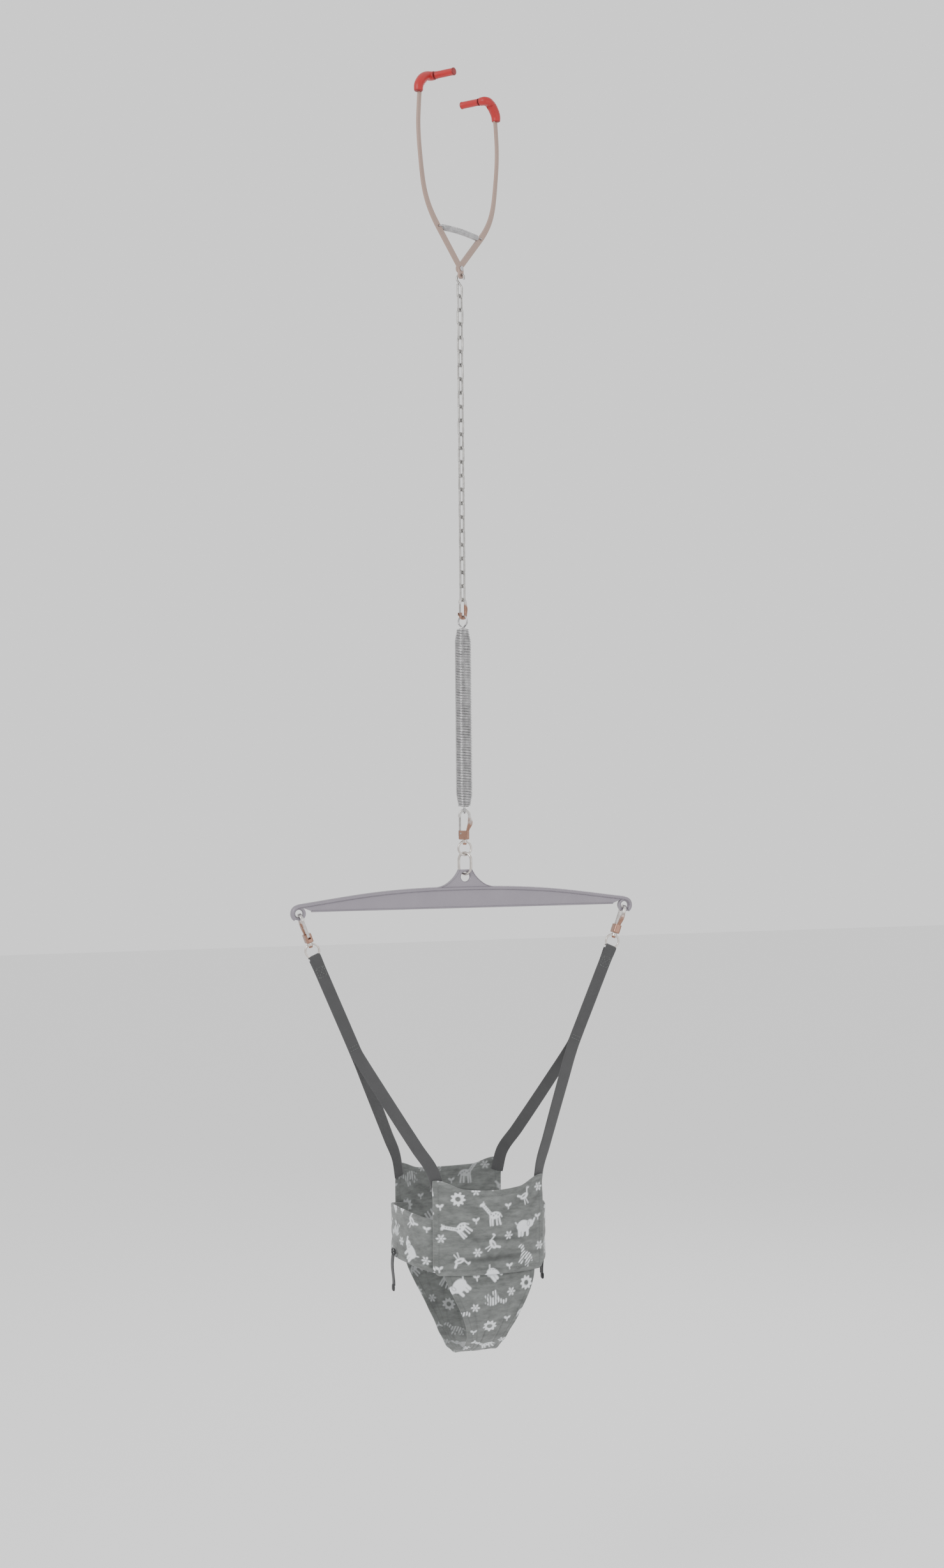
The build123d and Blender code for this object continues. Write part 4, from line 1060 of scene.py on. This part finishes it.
def side_band(side, seed):
    """A wing from under the front panel round the hip to under the back panel."""

    def surface(s, t):
        angle = s * 2 - 1
        reach = WING_PLAN[-1][1]
        spot = np.abs(angle) * (len(WING_CURVE) - 1)
        x = np.interp(spot, np.arange(len(WING_CURVE)), WING_CURVE[:, 0])
        y = np.interp(spot, np.arange(len(WING_CURVE)), WING_CURVE[:, 1]) * np.sign(angle) * side
        share = y / reach
        top = wing_high.z + (5.0 - 9.0 * share**2) * MM
        bottom = wing_low.z + (8.0 - 9.0 * share**2) * MM
        z = bottom + (top - bottom) * t
        drop = (top - z) / (top - bottom)
        tuck = fold(np.abs(share), 0.9, 0.06) * 0.8
        folds = fold(drop - 0.15 * angle, 0.72, 0.06) + 0.6 * fold(drop + 0.1 * angle, 0.35, 0.05)
        x = x - (1.1 * folds + 0.5 * ripple(y, z, seed) + 0.6 * tuck) * MM
        rim = np.minimum(z - bottom, top - z)
        rim = np.minimum(rim, reach - np.abs(y) + 1 * MM)
        middle = np.stack([side * x, y, z], axis=-1)
        # the fourth value is painted shade for the folds and the tuck, which darkens the cloth
        return middle, y + 0 * z, z - SEAM_Z, np.clip(0.35 * folds + 0.3 * tuck, 0, 1), rim

    return surface


for wing_side, wing_name in ((-1, "left"), (1, "right")):
    cloth_piece(
        f"{wing_name}_wing_cloth", side_band(wing_side, 7 + wing_side), 70, 130, [f"{wing_name}_wing"],
        seed=20 + wing_side,
        shift=(0.9 * wing_side, 0.01),
    )

crotch_low, crotch_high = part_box("crotch_panel")
SLING_TUCK = 5 * MM
SLING_TOP = crotch_high.z + SLING_TUCK
SLING_TURN = crotch_low.z + crotch_high.y
SLING_BEHIND = 3.4 * MM
SLING_WIDTHS = ((0.0, 55.0), (0.10, 53.0), (0.28, 45.0), (0.67, 27.0), (1.0, 22.5))


def sling(s, t):
    """The crotch: it hangs from behind both panels and turns under in a half circle."""
    share = s * 2 - 1
    straight = SLING_TOP - SLING_TURN
    arc = math.pi * crotch_high.y
    run = t * (2 * straight + arc)
    angle = np.clip((run - straight) / crotch_high.y, 0, math.pi)
    hang = np.where(run < straight, straight - run, np.maximum(run - straight - arc, 0))
    drop = (straight - hang + np.sin(angle) * crotch_high.y) / (straight + crotch_high.y)
    stops = np.array(SLING_WIDTHS)
    fit = np.polyfit(stops[:, 0], stops[:, 1], 3)
    half = np.polyval(fit, drop) * MM
    x = -share * half
    tuck = np.exp(-(((np.minimum(run, run.max() - run)) / (9 * MM)) ** 2))
    reach = np.abs(plan_arc(x, 1, 1.2 * MM)) - SLING_BEHIND * tuck
    y0 = -np.cos(angle) * reach
    z0 = SLING_TURN + hang - np.sin(angle) * reach
    inward = unit(np.stack([0 * x, np.cos(angle), np.sin(angle)], axis=-1))
    gather = np.abs(share) ** 3
    folds = (
        fold(share - 0.35 * np.sin(angle), 0.0, 0.06)
        + 0.7 * fold(share + 0.55 - 0.2 * drop, 0.0, 0.05)
        + 0.7 * fold(share - 0.62 + 0.1 * drop, 0.0, 0.05)
    ) * np.clip(drop * 1.6, 0.15, 1)
    curl = 3.2 * MM * gather * np.sin(angle) ** 0.8
    wave = 0.8 * np.sin(angle * 18 + 4 * share) * np.abs(share) ** 4 * np.sin(angle)
    seam_fold = fold(hang, straight - SLING_TUCK - 6 * MM, 3 * MM)
    depth = (0.9 * folds + 0.5 * ripple(x, t * 0.3, 31) + wave) * MM * (1 - tuck) - curl * 0.4
    middle = np.stack([x, y0, z0], axis=-1) + inward * depth[..., None]
    rim = np.minimum(half - np.abs(x), np.minimum(run, run.max() - run) + 4 * MM)
    # painted shade for the folds, the curled-in sides and the fold at the seam, which darkens the cloth
    painted_shade = np.clip(0.35 * folds + 0.15 * gather + 0.4 * seam_fold, 0, 1)
    return middle, x, -run, painted_shade, rim


sling_cloth, sling_outer, sling_normal = cloth_piece(
    "crotch_cloth", sling, 300, 130, ["crotch_panel"],
    seed=14,
)


# ---------------------------------------------------------------------- stitching
def sewn_edge(name, outer, normal, rows, columns, top=True, bottom=True, sides=True, inset=HEM, step=(1.0, 1.0)):
    """Stitches along the hem line of a panel, on its outer face."""
    r = max(1, int(round(inset / step[1])))
    c = max(1, int(round(inset / step[0])))
    last_r, last_c = rows - 1 - r, columns - 1 - c
    parts = []
    runs = []
    if bottom:
        runs.append((outer[r, c:last_c + 1], normal[r, c:last_c + 1]))
    if top:
        runs.append((outer[last_r, c:last_c + 1], normal[last_r, c:last_c + 1]))
    if sides:
        runs.append((outer[r:last_r + 1, c], normal[r:last_r + 1, c]))
        runs.append((outer[r:last_r + 1, last_c], normal[r:last_r + 1, last_c]))
    for line, lift in runs:
        parts += stitch_row(line, lift, length=2.2 * MM, gap=0.9 * MM, radius=0.2 * MM)
    made = make_object(name, *join_meshes(parts), THREAD)
    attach(made, "harness")
    return made


bib_step = (2 * HALF_WIDTH / 149, (TOP_Z - SEAM_Z) / 119)
sewn_edge("front_panel_stitching", front_outer, front_normal, 120, 150, step=bib_step)
sewn_edge("back_panel_stitching", back_outer, back_normal, 120, 150, step=bib_step)


# --------------------------------------------------------------- side tails, buckles
TAIL_WIDTH = 10.2 * MM


def build_tail(side, name):
    """The narrow strap that hangs at the hip, its slide and its moulded tip."""
    low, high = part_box(f"{name}_side_strap")
    x = (low.x + high.x) / 2
    steps = np.linspace(0, 1, 40)
    path = np.stack(
        [
            x + side * 0.8 * MM * np.sin(steps * 5.0),
            0.7 * MM * np.sin(steps * 3.0),
            high.z + (low.z - high.z) * steps,
        ],
        axis=1,
    )
    tail = ribbon(f"{name}_side_webbing", path, (0, 1, 0), TAIL_WIDTH, 1.1 * MM, TAIL_WEBBING, profile=10)
    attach(tail, "harness")
    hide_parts(f"{name}_side_strap")
    buckle_low, buckle_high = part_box(f"{name}_side_buckle")
    centre_x = (buckle_low.x + buckle_high.x) / 2
    top = np.array((centre_x, 0.0, buckle_high.z - 3.5 * MM))
    half_y, half_z = 5.2 * MM, 3.0 * MM
    turn = np.linspace(0, 2 * np.pi, 40, endpoint=False)
    power = 0.45
    ring = np.stack(
        [
            np.zeros_like(turn),
            np.sign(np.cos(turn)) * np.abs(np.cos(turn)) ** power * half_y,
            np.sign(np.sin(turn)) * np.abs(np.sin(turn)) ** power * half_z,
        ],
        axis=1,
    )
    parts = [tube(top + ring, 0.9 * MM, 8, closed=True, normal=(1, 0, 0))]
    parts.append(tube([top + (0, -half_y, 0), top, top + (0, half_y, 0)], 0.8 * MM, 8, normal=(1, 0, 0)))
    tip_top = np.array((x, 0.0, low.z + 1.0 * MM))
    rows = np.linspace(0, 1, 12)
    tip = []
    for k in rows:
        width = 4.6 * MM * math.sqrt(max(0.06, 1 - (2 * k - 0.9) ** 4 * 0.5))
        depth = 1.3 * MM * math.sqrt(max(0.08, 1 - (2 * k - 1) ** 4))
        a = np.linspace(0, 2 * np.pi, 16, endpoint=False)
        tip.append(
            np.stack(
                [tip_top[0] + depth * np.cos(a), width * np.sin(a), np.full(16, tip_top[2] - 7.6 * MM * k)],
                axis=1,
            )
        )
    tip_points = np.vstack(tip)
    tip_faces = grid_faces(12, 16, wrap_columns=True) + [tuple(range(16)), tuple(range(11 * 16 + 15, 11 * 16 - 1, -1))]
    parts.append((tip_points, tip_faces))
    buckle = make_object(f"{name}_side_buckle_moulding", *join_meshes(parts), BUCKLE)
    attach(buckle, "harness")
    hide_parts(f"{name}_side_buckle")


for tail_side, tail_name in ((-1, "left"), (1, "right")):
    build_tail(tail_side, tail_name)

# -------------------------------------------------------------- stage, light, camera
CAMERA_ANGLE = math.radians(-20)
CAMERA_DISTANCE = 2.8
EYE_Z = -0.796
IMAGE = (1479, 2456)
FOCAL = 3808
ROLL = math.radians(0.51)
PLUMB_OFFSET = 0.009

toward_camera = Vector((math.sin(CAMERA_ANGLE), -math.cos(CAMERA_ANGLE), 0))
right = Vector((math.cos(CAMERA_ANGLE), math.sin(CAMERA_ANGLE), 0))
camera_data = bpy.data.cameras.new("camera")
camera_data.sensor_fit = "VERTICAL"
camera_data.sensor_height = 36
camera_data.lens = FOCAL / IMAGE[1] * camera_data.sensor_height
camera_data.clip_end = 50
camera = bpy.data.objects.new("camera", camera_data)
bpy.context.scene.collection.objects.link(camera)
camera.location = toward_camera * CAMERA_DISTANCE + right * PLUMB_OFFSET + Vector((0, 0, EYE_Z))
look = (-toward_camera).to_track_quat("-Z", "Y").to_matrix().to_4x4()
camera.matrix_world = Matrix.Translation(camera.location) @ look @ Matrix.Rotation(-ROLL, 4, "Z")
bpy.context.scene.camera = camera

floor_mesh = bpy.data.meshes.new("floor")
FLOOR_Z = cad_bounds[0][2] - 0.35
floor_mesh.from_pydata([(-12, -12, FLOOR_Z), (12, -12, FLOOR_Z), (12, 12, FLOOR_Z), (-12, 12, FLOOR_Z)], [], [(0, 1, 2, 3)])
floor_shader = Shader("floor_paint")
floor_shader.colour(floor_shader.mix(floor_shader.noise(0.6, 2), (0.872, 0.872, 0.872), (0.884, 0.884, 0.884)))
floor_shader.set(Roughness=0.9)
floor_mesh.materials.append(floor_shader.material)
floor = bpy.data.objects.new("floor", floor_mesh)
bpy.context.scene.collection.objects.link(floor)

world = bpy.data.worlds.new("studio")
world.use_nodes = True
world.node_tree.nodes["Background"].inputs["Color"].default_value = (1.0, 1.0, 1.0, 1)
world.node_tree.nodes["Background"].inputs["Strength"].default_value = 1.15
bpy.context.scene.world = world


def softbox(name, place, power, size):
    """A large square lamp that faces the middle of the object."""
    data = bpy.data.lights.new(name, "AREA")
    data.energy = power
    data.size = size
    lamp = bpy.data.objects.new(name, data)
    bpy.context.scene.collection.objects.link(lamp)
    lamp.location = place
    target = Vector((0, 0, EYE_Z))
    lamp.rotation_euler = (target - Vector(place)).to_track_quat("-Z", "Y").to_euler()


softbox("key", toward_camera * 2.2 - right * 1.6 + Vector((0, 0, 0.6)), 40, 1.2)
softbox("fill", toward_camera * 2.0 + right * 2.0 + Vector((0, 0, -0.6)), 12, 1.8)
softbox("rim", -toward_camera * 2.0 + right * 0.8 + Vector((0, 0, 0.4)), 18, 1.4)
